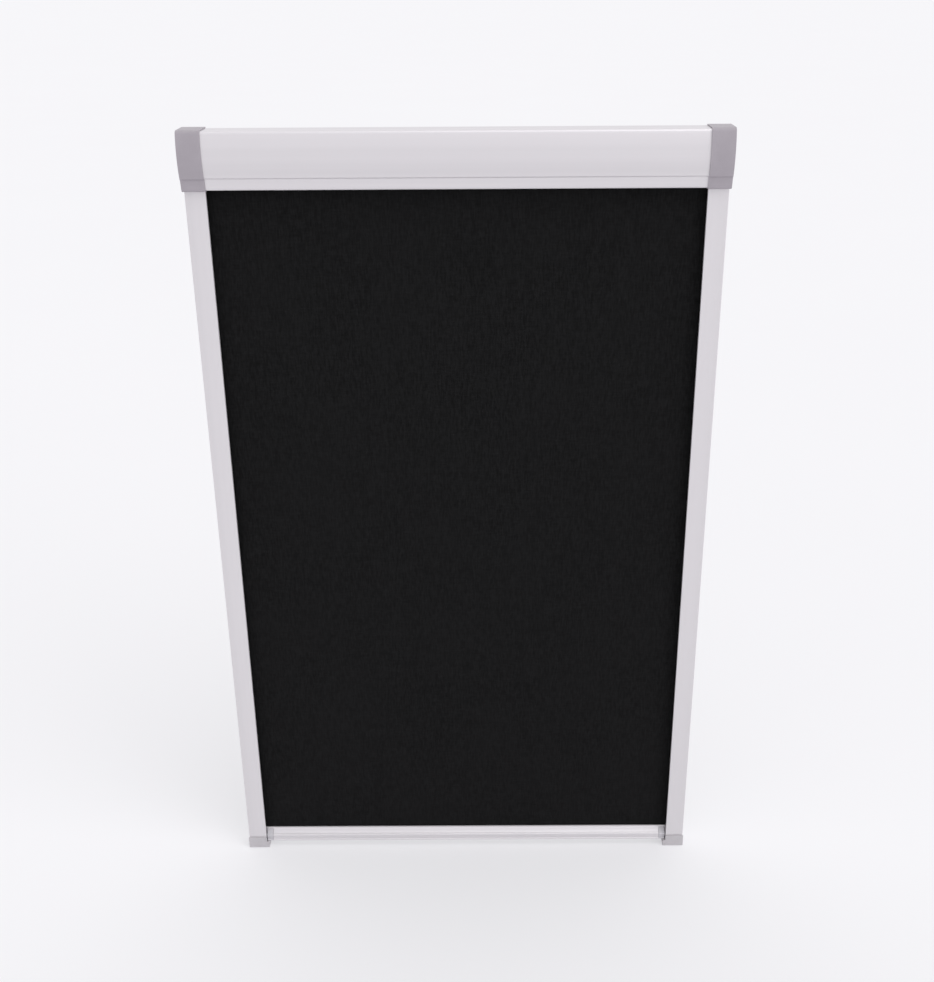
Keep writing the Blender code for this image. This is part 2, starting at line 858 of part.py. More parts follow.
def build_foot(side):
    """Moulded foot that closes the channel's lower end, with a toe that stops the bar."""
    tag = side_name(side)
    inner = channel_inside - gap
    shin_top = foot_bottom + foot_height
    toe_top = foot_bottom + foot_stop_height
    corners = [
        (inner - toe_reach, foot_bottom, foot_corner),
        (inner - toe_reach, toe_top, foot_corner),
        (inner, toe_top),
        (inner, shin_top, foot_corner),
        (half_width, shin_top, foot_corner),
        (half_width, foot_bottom, foot_corner),
    ]
    outline = [(side * x, z) for x, z in rounded(corners, closed=True)]
    notch = -channel_depth - gap
    foot = made_solid(along_y(f"foot_{tag}", [outline], notch - foot_skirt, 0.0, foot_plastic))
    floor = foot_bottom + foot_floor
    room = block(
        f"foot_room_{tag}",
        (side * inner, notch, floor),
        (side * (half_width + cutter_reach), cutter_reach, shin_top + cutter_reach),
    )
    cut(foot, room)
    plug_out = channel_cavity - gap
    plug = block(
        f"foot_plug_{tag}",
        (side * plug_out, -channel_depth + channel_wall + gap, floor - gap),
        (side * (plug_out - foot_plug_width), -channel_wall - gap, toe_top),
    )
    join(foot, plug)


# Roller


def at_roller(line):
    """An outline given about the roller's axis, moved to its place."""
    return [(roller_y + a, roller_z + b) for a, b in line]


def build_roller_tube():
    """Tube with a keyhole groove along its top that holds the fabric's spline."""
    slit_outside = math.degrees(math.asin(keyhole_slit / 2 / tube_radius))
    slit_inside = math.degrees(math.asin(keyhole_slit / 2 / keyhole_radius))
    keyhole = (0.0, keyhole_depth)
    outside = arc((0.0, 0.0), tube_radius, 90 + slit_outside, 450 - slit_outside, round_steps)
    outside += arc(keyhole, keyhole_radius, 90 - slit_inside, slit_inside - 270, 12)
    bulge = keyhole_radius + keyhole_wall
    meet = (tube_bore**2 - bulge**2 + keyhole_depth**2) / (2 * keyhole_depth)
    across = math.sqrt(tube_bore**2 - meet**2)
    from_top = math.degrees(math.atan2(across, meet))
    from_keyhole = math.degrees(math.atan2(across, meet - keyhole_depth))
    inside = arc((0.0, 0.0), tube_bore, 90 + from_top, 450 - from_top, round_steps)
    inside += arc(keyhole, bulge, 90 - from_keyhole, from_keyhole - 270, 8)[1:-1]
    outlines = [at_roller(outside), at_roller(inside)]
    along_x("roller_tube", outlines, -tube_half, tube_half, satin_aluminium, roller_axis)


def keyhole_bar(name, radius, half_length, material=grey_plastic):
    """A round bar along the keyhole groove."""
    place = (roller_y, roller_z + keyhole_depth)
    return bar_along_x(name, place, radius, -half_length, half_length, sides=16, look=material)


def build_roller_fabric():
    """The spline in the groove and the turns of fabric that stay on the tube."""
    hold(keyhole_bar("roller_spline", keyhole_radius - gap, fabric_half, spline_vinyl), roller_axis)
    inner, length = tube_radius + gap, 2 * fabric_half
    profile = [(length, roll_radius), (0.0, roll_radius), (0.0, inner), (length, inner)]
    place = (-fabric_half, roller_y, roller_z)
    turned_x("fabric_roll", profile, place, 1, black_fabric, roller_axis)


def cut_for_keyhole(plug):
    """Relief in a plug for the bulge inside the tube."""
    radius = keyhole_radius + keyhole_wall + gap
    cut(plug, keyhole_bar(f"{plug.name}_relief", radius, tube_half + gap / 2))


def build_idler_end():
    """Left end of the roller: plug, bush and the pin that they turn on."""
    length = idler_plug_length + plug_flange
    bore = idler_pin_radius + bush_wall + 2 * gap
    profile = [
        (length, plug_radius),
        (plug_flange, plug_radius),
        (plug_flange, tube_radius),
        (0.0, tube_radius),
        (0.0, bore),
        (length, bore),
    ]
    place = (-roller_face, roller_y, roller_z)
    cut_for_keyhole(turned_x("idler_plug", profile, place, 1, grey_plastic, roller_axis))
    outer, inner = bore - gap, idler_pin_radius + gap
    ring = [(length, outer), (0.0, outer), (0.0, inner), (length, inner)]
    turned_x("idler_bush", ring, place, 1, nylon, roller_axis)
    start = -(half_width - socket_wall - gap)
    place = (roller_y, roller_z)
    bar_along_x("idler_pin", place, idler_pin_radius, start, start + idler_pin_length, look=zinc_steel)


def build_drive_end():
    """Right end of the roller: plug, fixed hexagonal shaft, spring and the collar that holds it."""
    bore = shaft_radius + gap
    nose = spring_radius - spring_wire_radius - gap
    body_end = drive_plug_length + plug_flange
    nose_end = body_end + spring_nose_length
    profile = [
        (nose_end, nose),
        (body_end, nose),
        (body_end, plug_radius),
        (plug_flange, plug_radius),
        (plug_flange, tube_radius),
        (0.0, tube_radius),
        (0.0, bore),
        (nose_end, bore),
    ]
    place = (roller_face, roller_y, roller_z)
    cut_for_keyhole(turned_x("drive_plug", profile, place, -1, grey_plastic, roller_axis))

    start = half_width - socket_wall - gap
    shaft_end = start - shaft_length
    axis = (roller_y, roller_z)
    bar_along_x("spring_shaft", axis, shaft_radius, start, shaft_end, sides=6, look=zinc_steel)

    flange = nose + collar_flange_rise
    profile = [
        (collar_length, 0.0),
        (collar_length, nose),
        (collar_flange, nose),
        (collar_flange, flange),
        (0.0, flange),
        (0.0, 0.0),
    ]
    collar = turned_x("spring_collar", profile, (shaft_end, *axis), 1, grey_plastic)
    hole = shaft_radius + hex_clearance
    ends = shaft_end - cutter_reach, shaft_end + collar_length + cutter_reach
    cut(collar, bar_along_x("collar_hole", axis, hole, *ends, sides=6))

    wire = bpy.data.curves.new("torsion_spring", "CURVE")
    wire.dimensions = "3D"
    wire.bevel_depth = spring_wire_radius
    wire.bevel_resolution = 2
    wire.use_fill_caps = True
    first = shaft_end + collar_flange + spring_wire_radius + gap
    last = roller_face - body_end - spring_wire_radius - gap
    count = spring_turns * spring_points_per_turn + 1
    spline = wire.splines.new("POLY")
    spline.points.add(count - 1)
    for i, point in enumerate(spline.points):
        turn = 2 * math.pi * i / spring_points_per_turn
        along = first + (last - first) * i / (count - 1)
        across = roller_y + spring_radius * math.cos(turn)
        up = roller_z + spring_radius * math.sin(turn)
        point.co = (along, across, up, 1.0)
    link_piece("torsion_spring", wire, spring_steel)


# Fabric and bottom bar


def build_fabric():
    """The drop of blackout fabric, from the roll down to its spline in the bottom bar."""
    low = bar_bottom + bar_groove_height + bar_spline_radius + gap
    corner, opposite = (-fabric_half, fabric_front, low), (fabric_half, fabric_back, roller_z)
    block("blackout_fabric", corner, opposite, black_fabric)


def nose_line(inset, top, foot):
    """The bar's front, from its slope at one height, round the nose, to its face at another."""
    nose = arc(
        nose_centre, bar_nose_radius - inset, math.degrees(slope_angle), 180 + math.degrees(bar_lean), 5
    )
    rise = (top - nose[0][1]) / -math.cos(slope_angle)
    fall = (nose[-1][1] - foot) / math.cos(bar_lean)
    first = (nose[0][0] + rise * math.sin(slope_angle), top)
    last = (nose[-1][0] + fall * math.sin(bar_lean), foot)
    return [first, *nose, last]


def bead_line():
    """The small bead along the foot of the bar's front."""
    bead = [
        nose_line(0.0, bar_shoulder, bar_bead_height)[-1],
        (-bar_bead_reach, bar_bead_height - bar_bead_round),
        (-bar_bead_reach, 0.0, bar_bead_round),
        (0.0, 0.0),
    ]
    return rounded(bead, steps=2)[1:-1]


def at_bar(line):
    """An outline given as (depth from the fabric plane, height), moved to the bar's place."""
    return [(fabric_plane + a, bar_bottom + h) for a, h in line]


def chamber_line(inset):
    """The bar's hollow chamber, or with an inset what fits inside it."""
    wall = bar_wall + inset
    floor = slot_lip + slot_depth + wall
    ceiling = bar_groove_height - bar_groove_radius - wall
    front = nose_line(wall, ceiling, floor)
    return [(bar_flange_half - wall, floor), (bar_flange_half - wall, ceiling), *front]


def build_bottom_bar():
    """Extruded bar with a pull nose, a spline groove in its top edge and a seal groove below."""
    half_slit = bar_slit / 2
    turn = math.degrees(math.asin(half_slit / bar_groove_radius))
    groove = arc((0.0, bar_groove_height), bar_groove_radius, 90 - turn, turn - 270, 16)
    seal_slot = slot_line(-bar_seal_setback, 0.0, seal_slot_width, seal_slot_mouth, 1)
    outline = [
        (bar_flange_half, 0.0),
        (bar_flange_half, bar_height),
        (half_slit, bar_height),
        *groove,
        (-half_slit, bar_height),
        (-bar_flange_half, bar_height),
        *nose_line(0.0, bar_shoulder, bar_bead_height),
        *bead_line(),
        *seal_slot,
    ]
    outlines = [at_bar(outline), at_bar(chamber_line(0.0))]
    bar = along_x("bottom_bar", outlines, -bar_flange_end, bar_flange_end, satin_aluminium, bar_carriage)
    bar = made_solid(bar)
    behind, front = bar_flange_half + cutter_reach, -bar_nose_reach - cutter_reach
    keep = -bar_flange_half - gap
    waste = [
        (behind, -cutter_reach),
        (behind, flange_foot),
        (keep, flange_foot),
        (keep, bar_height + cutter_reach),
        (front, bar_height + cutter_reach),
        (front, -cutter_reach),
    ]
    for side in (-1, 1):
        ends = side * bar_half, side * (bar_flange_end + cutter_reach)
        cut(bar, made_solid(along_x(f"bar_end_{side_name(side)}", [at_bar(waste)], *ends)))

    place = (fabric_plane, bar_bottom + bar_groove_height)
    ends = -fabric_half, fabric_half
    spline = bar_along_x("bar_spline", place, bar_spline_radius, *ends, sides=20, look=spline_vinyl)
    hold(spline, bar_carriage)
    section = strip_line(-bar_seal_setback, 0.0, seal_slot_width, seal_slot_mouth, 1, -bar_seal_drop)
    ends = gap - bar_half, bar_half - gap
    along_x("bar_seal", [at_bar(section)], *ends, felt, bar_carriage)


def build_end_plug(side):
    """Moulded plug in the bar's end, with a neck to the slider that runs in the channel."""
    tag = side_name(side)
    keep = -bar_flange_half - 2 * gap
    to_keep = (keep + bar_flange_half) / math.sin(slope_angle)
    step_top = bar_shoulder - to_keep * math.cos(slope_angle)
    under_flange = flange_foot - gap
    face = [
        (bar_flange_half, 0.0),
        (bar_flange_half, under_flange),
        (keep, under_flange),
        *nose_line(0.0, step_top, bar_bead_height),
        *bead_line(),
    ]
    start = bar_half + gap
    end = start + end_plug_face
    plug = along_x(f"end_plug_{tag}", [at_bar(face)], side * start, side * end, grey_plastic, bar_carriage)
    plug = made_solid(plug)
    spigot_ends = side * (bar_half - end_plug_spigot), side * (start + gap)
    spigot = along_x(f"plug_spigot_{tag}", [at_bar(chamber_line(gap))], *spigot_ends)
    join(plug, made_solid(spigot))
    half_neck = end_plug_neck / 2
    neck = block(
        f"plug_neck_{tag}",
        (side * (end - gap), fabric_plane - half_neck, bar_bottom + end_plug_neck_foot),
        (side * (slider_inside + gap), fabric_plane + half_neck, bar_bottom + under_flange - gap),
    )
    join(plug, neck)
    slider = block(
        f"slider_{tag}",
        (side * slider_inside, -channel_depth + channel_wall + slider_clearance, bar_bottom),
        (side * slider_outside, -channel_wall - slider_clearance, bar_bottom + slider_height),
    )
    join(plug, bevel(slider, slider_chamfer, 1))

    middle = bar_bottom + slider_height / 2
    floor = slider_outside - brake_pocket_depth
    half_width_y, half_height = brake_pocket_width / 2, brake_pocket_height / 2
    pocket = block(
        f"brake_pocket_{tag}",
        (side * floor, channel_middle - half_width_y, middle - half_height),
        (side * (slider_outside + cutter_reach), channel_middle + half_width_y, middle + half_height),
    )
    cut(plug, pocket)

    pad_out = channel_cavity - gap
    pad_in = pad_out - brake_pad_thickness
    half_pad, half_pad_height = half_width_y - gap, half_height - gap
    pad = block(
        f"brake_pad_{tag}",
        (side * pad_in, channel_middle - half_pad, middle - half_pad_height),
        (side * pad_out, channel_middle + half_pad, middle + half_pad_height),
        felt,
    )
    hold(bevel(pad, gap, 1), bar_carriage)

    rest = floor + gap + brake_spring_thickness
    crown = pad_in - gap
    low, high = middle - half_pad_height, middle + half_pad_height
    outer = arc_through((rest, low), (crown, middle), (rest, high), 10)
    inner = parallel(outer, -brake_spring_thickness)
    outline = [(side * x, z) for x, z in outer + inner[::-1]]
    half_leaf = brake_spring_width / 2
    ends = channel_middle - half_leaf, channel_middle + half_leaf
    along_y(f"brake_spring_{tag}", [outline], *ends, spring_steel, bar_carriage)


build_fascia()
build_back_profile()
build_cassette_seal()
build_roller_tube()
build_roller_fabric()
build_idler_end()
build_drive_end()
build_fabric()
build_bottom_bar()
for each_side in (-1, 1):
    build_end_cap(each_side)
    build_cap_screw(each_side, "upper", upper_port_height)
    build_cap_screw(each_side, "lower", lower_port_height)
    build_bracket(each_side)
    build_channel(each_side)
    build_foot(each_side)
    build_end_plug(each_side)
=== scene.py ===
"""Looks of a cassette roller blackout blind for a roof window, drawn fully down.

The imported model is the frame. Each piece of it gets its finish here, and the extruded, moulded,
woven and wound pieces are remade with the fine surface that the real ones have.
Metres, +Z up along the drop, the room on the -Y side.
"""

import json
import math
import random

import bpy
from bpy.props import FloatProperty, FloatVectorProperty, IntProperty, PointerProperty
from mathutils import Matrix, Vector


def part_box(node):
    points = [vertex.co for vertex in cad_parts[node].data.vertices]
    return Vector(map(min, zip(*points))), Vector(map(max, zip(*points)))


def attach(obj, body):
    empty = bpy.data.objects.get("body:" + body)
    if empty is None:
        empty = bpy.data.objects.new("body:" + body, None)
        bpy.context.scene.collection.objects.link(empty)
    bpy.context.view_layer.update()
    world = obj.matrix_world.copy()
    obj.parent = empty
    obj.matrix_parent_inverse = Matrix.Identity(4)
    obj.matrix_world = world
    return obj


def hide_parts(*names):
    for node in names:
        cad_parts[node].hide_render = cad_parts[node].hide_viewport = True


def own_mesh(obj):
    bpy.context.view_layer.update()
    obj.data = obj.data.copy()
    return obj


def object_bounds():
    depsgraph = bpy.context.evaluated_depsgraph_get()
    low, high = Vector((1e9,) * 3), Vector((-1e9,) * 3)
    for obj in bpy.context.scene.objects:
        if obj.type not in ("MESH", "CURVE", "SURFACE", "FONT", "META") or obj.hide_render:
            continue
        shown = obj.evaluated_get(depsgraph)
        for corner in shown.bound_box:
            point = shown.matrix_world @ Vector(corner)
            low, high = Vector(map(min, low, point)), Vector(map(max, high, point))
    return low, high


bl_info = {
    "name": "Roof Window Blind",
    "version": (1, 0, 0),
    "blender": (4, 5, 0),
    "location": "3D View > Sidebar > Roof Blind",
    "description": "Finishes a cassette roller blind piece by piece and sets it in a plain studio",
    "category": "Object",
}

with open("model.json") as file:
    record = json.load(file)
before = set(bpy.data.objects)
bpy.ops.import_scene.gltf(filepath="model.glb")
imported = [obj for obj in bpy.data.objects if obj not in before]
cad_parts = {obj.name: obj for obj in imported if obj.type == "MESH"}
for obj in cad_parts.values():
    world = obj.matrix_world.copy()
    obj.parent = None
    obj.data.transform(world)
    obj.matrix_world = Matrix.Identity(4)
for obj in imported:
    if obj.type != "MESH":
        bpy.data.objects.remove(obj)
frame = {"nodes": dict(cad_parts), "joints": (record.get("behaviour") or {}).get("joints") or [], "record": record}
cad_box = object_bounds()


def size_of(node):
    """Extent of a CAD piece along X, Y and Z."""
    low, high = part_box(node)
    return high - low


def centre_of(node):
    """Middle of a CAD piece's box."""
    low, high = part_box(node)
    return (low + high) / 2


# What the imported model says

BODY_OF = {
    node: body
    for body, nodes in frame["record"]["behaviour"]["bodies"].items()
    for node in nodes
}
SPIN = next(joint for joint in frame["joints"] if joint["name"] == "roller_spin")
FABRIC = size_of("blackout_fabric")
FABRIC_LOW, FABRIC_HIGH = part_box("blackout_fabric")
SIDES = ("left", "right")
CHANNEL_SEALS = [f"pile_seal_{row}_{side}" for row in ("front", "back") for side in SIDES]

# Axes, as indices of a vector
X, Z = 0, 2

# Tolerances of the mesh work. Two directions count as the same above PARALLEL, a cosine.
MERGE_DISTANCE = 0.000002
PLANE_TOLERANCE = 0.00001
PARALLEL = 0.999
FLAT_ANGLE = math.radians(0.6)
SHARP_ANGLE = math.radians(30)
SMOOTH_ANGLE = math.radians(38)

# Radii on the edges of the small parts
SMALL_ROUND = 0.0002
THIN_WALL_ROUND = 0.00012
CORD_ROUND = 0.0001
PIN_ROUND = 0.0003
LEAF_ROUND = 0.00006

# Pile strips: their woven backing, and the tufts of the stretch that is then repeated
BACKING_THICKNESS = 0.0007
TUFT_ROWS, TUFT_COLUMNS = 4, 16

# The slack waves of the fabric: share of the depth, radians across, radians down, offset
RIPPLES = ((1.0, 11.0, 2.2, 0.0), (0.6, 23.0, -3.1, 1.3))

# Where nearly all values of a noise lie
NOISE_RANGE = (0.3, 0.7)

# Studio. Azimuth 0 is in front and 90 on the right, in degrees.
AMBIENT = 0.78
FLOOR_GLOW = 0.5
FLOOR_GAP = 0.0004
LAMP_SPREAD = 50.0
LAMPS = (
    # name, azimuth, elevation, strength
    ("key_lamp", 60.0, 12.0, 1.1),
    ("top_lamp", 45.0, 60.0, 0.7),
    ("left_back_lamp", -140.0, 50.0, 0.15),
    ("right_back_lamp", 140.0, 50.0, 0.15),
)

# The photograph's camera, fitted to the straight edges of the blind
IMAGE_WIDTH, IMAGE_HEIGHT = 934, 982
SENSOR_WIDTH = 36.0
FOCAL_PIXELS = 1211.0
CROP_OFFSET_PIXELS = 16.7
CAMERA_PLACE = (0.0311, -1.3881, 0.1886)
CAMERA_PITCH = math.radians(23.2)
CAMERA_YAW = math.radians(-0.137)
CAMERA_ROLL = math.radians(-0.356)


# Sizes and colours


def length(label, text, default):
    """A property that holds a length in metres."""
    return FloatProperty(
        name=label,
        description=text,
        default=default,
        min=0.0,
        max=1.0,
        precision=5,
        unit="LENGTH",
        subtype="DISTANCE",
    )


def colour(label, text, default):
    """A property that holds a surface colour."""
    return FloatVectorProperty(
        name=label, description=text, default=default, min=0.0, max=1.0, size=3, subtype="COLOR"
    )


class BlindSizes(bpy.types.PropertyGroup):
    """Fine sizes that the finished surfaces are made to."""

    extrusion_round: length(
        "Extrusion edges", "Radius left on the edges of the extruded pieces by the die", 0.0002
    )
    moulding_round: length(
        "Moulding edges", "Radius on the edges of the moulded caps, feet and plugs", 0.00025
    )
    pressing_round: length(
        "Pressing edges", "Radius left on the edges of the pressed steel brackets", 0.0001
    )
    bar_cove: length(
        "Bar cove", "Depth of the hollow above the bar's nose, where fingers find it", 0.00075
    )
    fabric_thickness: length("Fabric thickness", "Thickness of the coated cloth", FABRIC.y)
    fabric_wave: length(
        "Fabric wave", "Depth of the slack waves that hang between roller and bar", 0.00035
    )
    thread_pitch: length("Thread pitch", "Distance between the threads of the weave", 0.00042)
    tuft_pitch: length("Tuft pitch", "Distance between the tufts along a pile strip", 0.0008)
    tuft_width: length("Tuft width", "Width of one tuft at its root", 0.00055)
    screw_slot: length("Screw recess arm", "Width of the cross recess in a screw's head", 0.0008)
    wound_turns: FloatProperty(
        name="Wound turns",
        description="Turns of fabric left on the roller",
        default=1.25,
        min=1.0,
        max=1.3,
    )
    spring_turns: IntProperty(
        name="Spring turns", description="Turns of the torsion spring", default=16, min=4, max=60
    )


class BlindColours(bpy.types.PropertyGroup):
    """Surface colours of the blind and of the studio."""

    aluminium: colour("Aluminium", "Satin lacquer on the extrusions", (0.672, 0.648, 0.672))
    cap: colour("End caps", "Moulded plastic of the end caps", (0.348, 0.318, 0.354))
    foot: colour("Feet", "Moulded plastic of the channels' feet", (0.488, 0.468, 0.492))
    plug: colour("End plugs", "Moulded plastic of plugs and sliders", (0.53, 0.515, 0.55))
    nylon: colour("Nylon", "Natural nylon of the idler bush", (0.62, 0.615, 0.6))
    zinc: colour("Zinc plating", "Bright zinc on screws, brackets and shafts", (0.52, 0.53, 0.55))
    spring: colour("Spring steel", "Drawn wire and strip", (0.42, 0.42, 0.44))
    fabric: colour("Fabric", "Black side of the blackout cloth", (0.0053, 0.0053, 0.0056))
    pile: colour("Pile", "Woven pile of the seals", (0.11, 0.11, 0.12))
    vinyl: colour("Spline", "Soft vinyl cord in the fabric's edges", (0.7, 0.69, 0.66))
    felt: colour("Felt", "Dense felt of the brake pads and the bar's seal", (0.045, 0.045, 0.05))
    dust: colour("Dust", "Thin dust on what faces up", (0.62, 0.6, 0.57))
    floor: colour("Floor", "Studio floor and backdrop", (0.875, 0.87, 0.895))


def sizes():
    """The sizes that are set in the scene."""
    return bpy.context.scene.blind_sizes


def colours():
    """The colours that are set in the scene."""
    return bpy.context.scene.blind_colours


# Node trees


def add_node(tree, kind, inputs=None, **settings):
    """Add a shader node, with its settings, and its inputs given as values or as other sockets."""
    node = tree.nodes.new(f"ShaderNode{kind}")
    for name, value in settings.items():
        setattr(node, name, value)
    for key, value in (inputs or {}).items():
        if isinstance(value, bpy.types.NodeSocket):
            tree.links.new(value, node.inputs[key])
        else:
            node.inputs[key].default_value = value
    return node


def math_node(tree, operation, first, second=0.0):
    """The result of a sum, product or other operation on one or two values."""
    return add_node(tree, "Math", {0: first, 1: second}, operation=operation).outputs[0]


def add_share(tree, value, other, share):
    """A value plus a share of another one."""
    return math_node(tree, "ADD", value, math_node(tree, "MULTIPLY", other, share))


def blend_values(tree, first, second, share):
    """Two values mixed, with the given share of the second one."""
    kept = math_node(tree, "MULTIPLY", first, 1.0 - share)
    return add_share(tree, kept, second, share)


def mix_colour(tree, share, first, second):
    """Two colours mixed, with the given share of the second one.

    The Mix node has sockets for numbers and vectors too, under the same names, so its colour
    sockets are taken by their places.
    """
    inputs = {0: share, 6: first, 7: second}
    return add_node(tree, "Mix", inputs, data_type="RGBA").outputs[2]


def remap(tree, value, low, high, to_low=0.0, to_high=1.0):
    """The value moved from one range to another, and kept inside it."""
    inputs = {
        "Value": value,
        "From Min": low,
        "From Max": high,
        "To Min": to_low,
        "To Max": to_high,
    }
    return add_node(tree, "MapRange", inputs).outputs[0]


def noise(tree, vector, scale, detail=2.0, roughness=0.5):
    """Cloudy values that lie about 0.5."""
    inputs = {"Vector": vector, "Scale": scale, "Detail": detail, "Roughness": roughness}
    return add_node(tree, "TexNoise", inputs).outputs["Fac"]


def stretched(tree, vector, scale):
    """A vector multiplied axis by axis, which stretches a pattern along its small axes."""
    return add_node(tree, "VectorMath", {0: vector, 1: scale}, operation="MULTIPLY").outputs[0]


def new_group(name, inputs, outputs):
    """A node group that reads a vector and the given inputs, and makes the given values.

    It returns the group, the sockets that give its inputs and the sockets for its outputs.
    """
    group = bpy.data.node_groups.new(name, "ShaderNodeTree")
    for label, default in {"Vector": (0.0, 0.0, 0.0), **inputs}.items():
        kind = "Vector" if isinstance(default, tuple) else "Float"
        socket = group.interface.new_socket(label, in_out="INPUT", socket_type=f"NodeSocket{kind}")
        socket.default_value = default
    for label in outputs:
        group.interface.new_socket(label, in_out="OUTPUT", socket_type="NodeSocketFloat")
    start = group.nodes.new("NodeGroupInput")
    end = group.nodes.new("NodeGroupOutput")
    return group, start.outputs, end.inputs


def make_drawn_lines_group():
    """Fine lines that a die leaves along an extrusion, and slow bands of tone beside them."""
    outputs = ["Height", "Tone"]
    group, given, made = new_group("drawn_lines", {"Direction": (1.0, 1.0, 1.0)}, outputs)
    along = stretched(group, given["Vector"], given["Direction"])
    fine = noise(group, along, scale=2400.0, roughness=0.6)
    coarse = noise(group, along, scale=420.0, detail=3.0, roughness=0.55)
    group.links.new(blend_values(group, fine, coarse, share=0.4), made["Height"])
    group.links.new(noise(group, along, scale=60.0), made["Tone"])
    return group


def make_moulded_grain_group():
    """Spark-eroded grain of a moulding, with the slow tone of uneven cooling."""
    group, given, made = new_group("moulded_grain", {"Grain": 1400.0}, ["Height", "Tone"])
    fine = noise(group, given["Vector"], given["Grain"], detail=3.0, roughness=0.65)
    pit_scale = math_node(group, "MULTIPLY", given["Grain"], 0.6)
    pits = add_node(group, "TexVoronoi", {"Vector": given["Vector"], "Scale": pit_scale})
    height = blend_values(group, fine, pits.outputs["Distance"], share=0.3)
    group.links.new(height, made["Height"])
    group.links.new(noise(group, given["Vector"], scale=38.0), made["Tone"])
    return group


def make_edge_wear_group():
    """Where edges have been rubbed: the rounded normal turns away from the face's own."""
    group, given, made = new_group("edge_wear", {"Reach": 0.0004}, ["Mask"])
    rounded = add_node(group, "Bevel", {"Radius": given["Reach"]}, samples=4).outputs[0]
    flat = add_node(group, "NewGeometry").outputs["Normal"]
    facing = add_node(group, "VectorMath", {0: rounded, 1: flat}, operation="DOT_PRODUCT")
    turned = remap(group, facing.outputs["Value"], 0.995, 0.85)
    patches = noise(group, given["Vector"], scale=260.0, detail=3.0, roughness=0.6)
    broken = remap(group, patches, 0.42, 0.62)
    group.links.new(math_node(group, "MULTIPLY", turned, broken), made["Mask"])
    return group


def make_settled_dust_group():
    """Thin dust that lies on what faces up."""
    group, given, made = new_group("settled_dust", {"Amount": 0.3}, ["Mask"])
    normal = add_node(group, "NewGeometry").outputs["Normal"]
    up = add_node(group, "SeparateXYZ", {0: normal}).outputs["Z"]
    facing = remap(group, up, 0.55, 1.0)
    patches = noise(group, given["Vector"], scale=55.0, detail=4.0, roughness=0.7)
    cloudy = remap(group, patches, 0.35, 0.75)
    settled = math_node(group, "MULTIPLY", facing, cloudy)
    group.links.new(math_node(group, "MULTIPLY", settled, given["Amount"]), made["Mask"])
    return group


def make_plain_weave_group():
    """Plain weave: warp threads over and under the weft, and uneven yarn."""
    group, given, made = new_group("plain_weave", {"Pitch": 0.0004}, ["Height", "Tone"])
    count = math_node(group, "DIVIDE", math.pi, given["Pitch"])
    axes = add_node(group, "SeparateXYZ", {0: given["Vector"]}).outputs
    across = math_node(group, "SINE", math_node(group, "MULTIPLY", axes["X"], count))
    down = math_node(group, "SINE", math_node(group, "MULTIPLY", axes["Z"], count))
    crossing = remap(group, math_node(group, "MULTIPLY", across, down), -1.0, 1.0)
    warp_slubs, weft_slubs = (
        noise(group, stretched(group, given["Vector"], scale), scale=1.0, roughness=0.6)
        for scale in ((620.0, 60.0, 110.0), (110.0, 60.0, 620.0))
    )
    uneven = add_share(group, warp_slubs, weft_slubs, 0.5)
    group.links.new(add_share(group, crossing, uneven, 0.5), made["Height"])
    group.links.new(remap(group, uneven, 0.55, 0.95), made["Tone"])
    return group


def make_fibres_group():
    """Short tangled fibres of pile and felt."""
    group, given, made = new_group("fibres", {}, ["Height", "Tone"])
    bend = add_node(group, "TexNoise", {"Vector": given["Vector"], "Scale": 500.0})
    reach = (0.004, 0.004, 0.004)
    inputs = {0: bend.outputs["Color"], 1: reach, 2: given["Vector"]}
    pushed = add_node(group, "VectorMath", inputs, operation="MULTIPLY_ADD").outputs[0]
    for label, scale in (("Height", 2600.0), ("Tone", 700.0)):
        group.links.new(noise(group, pushed, scale, detail=3.0, roughness=0.7), made[label])
    return group


GROUPS = {}


def make_groups():
    """Build the shared effects once."""
    GROUPS["lines"] = make_drawn_lines_group()
    GROUPS["grain"] = make_moulded_grain_group()
    GROUPS["wear"] = make_edge_wear_group()
    GROUPS["dust"] = make_settled_dust_group()
    GROUPS["weave"] = make_plain_weave_group()
    GROUPS["fibres"] = make_fibres_group()


def place_group(tree, name, vector, **inputs):
    """Put a shared effect into a material's tree, and return its outputs."""
    return add_node(tree, "Group", {"Vector": vector, **inputs}, node_tree=GROUPS[name]).outputs


# Materials


def opaque(rgb):
    """A colour with its alpha."""
    return (*rgb, 1.0)


def shaded(rgb, share):
    """A colour made lighter or darker by a share."""
    return opaque([min(1.0, c * share) for c in rgb])


def two_tone(tree, share, rgb, darker, lighter):
    """A colour that varies between a darker and a lighter tone of itself."""
    return mix_colour(tree, share, shaded(rgb, darker), shaded(rgb, lighter))


def start_material(name, roughness, metallic=0.0):
    """A material, its tree, its shader and its Object coordinates."""
    made = bpy.data.materials.new(name)
    made.use_nodes = True
    tree = made.node_tree
    shader = tree.nodes["Principled BSDF"]
    shader.inputs["Roughness"].default_value = roughness
    shader.inputs["Metallic"].default_value = metallic
    place = add_node(tree, "TexCoord").outputs["Object"]
    return made, tree, shader, place


def age(tree, place, surface, rubbed, reach, rub, dust):
    """Rub a surface's edges to a paler colour and let dust settle on it.

    It returns the aged colour and the dust's mask.
    """
    wear = place_group(tree, "wear", place, Reach=reach)["Mask"]
    dusty = place_group(tree, "dust", place, Amount=dust)["Mask"]
    worn = mix_colour(tree, math_node(tree, "MULTIPLY", wear, rub), surface, rubbed)
    return mix_colour(tree, dusty, worn, opaque(colours().dust)), dusty


def bump(tree, shader, height, strength, distance):
    """Raise a surface by a height map."""
    inputs = {"Height": height, "Strength": strength, "Distance": distance}
    tree.links.new(add_node(tree, "Bump", inputs).outputs[0], shader.inputs["Normal"])


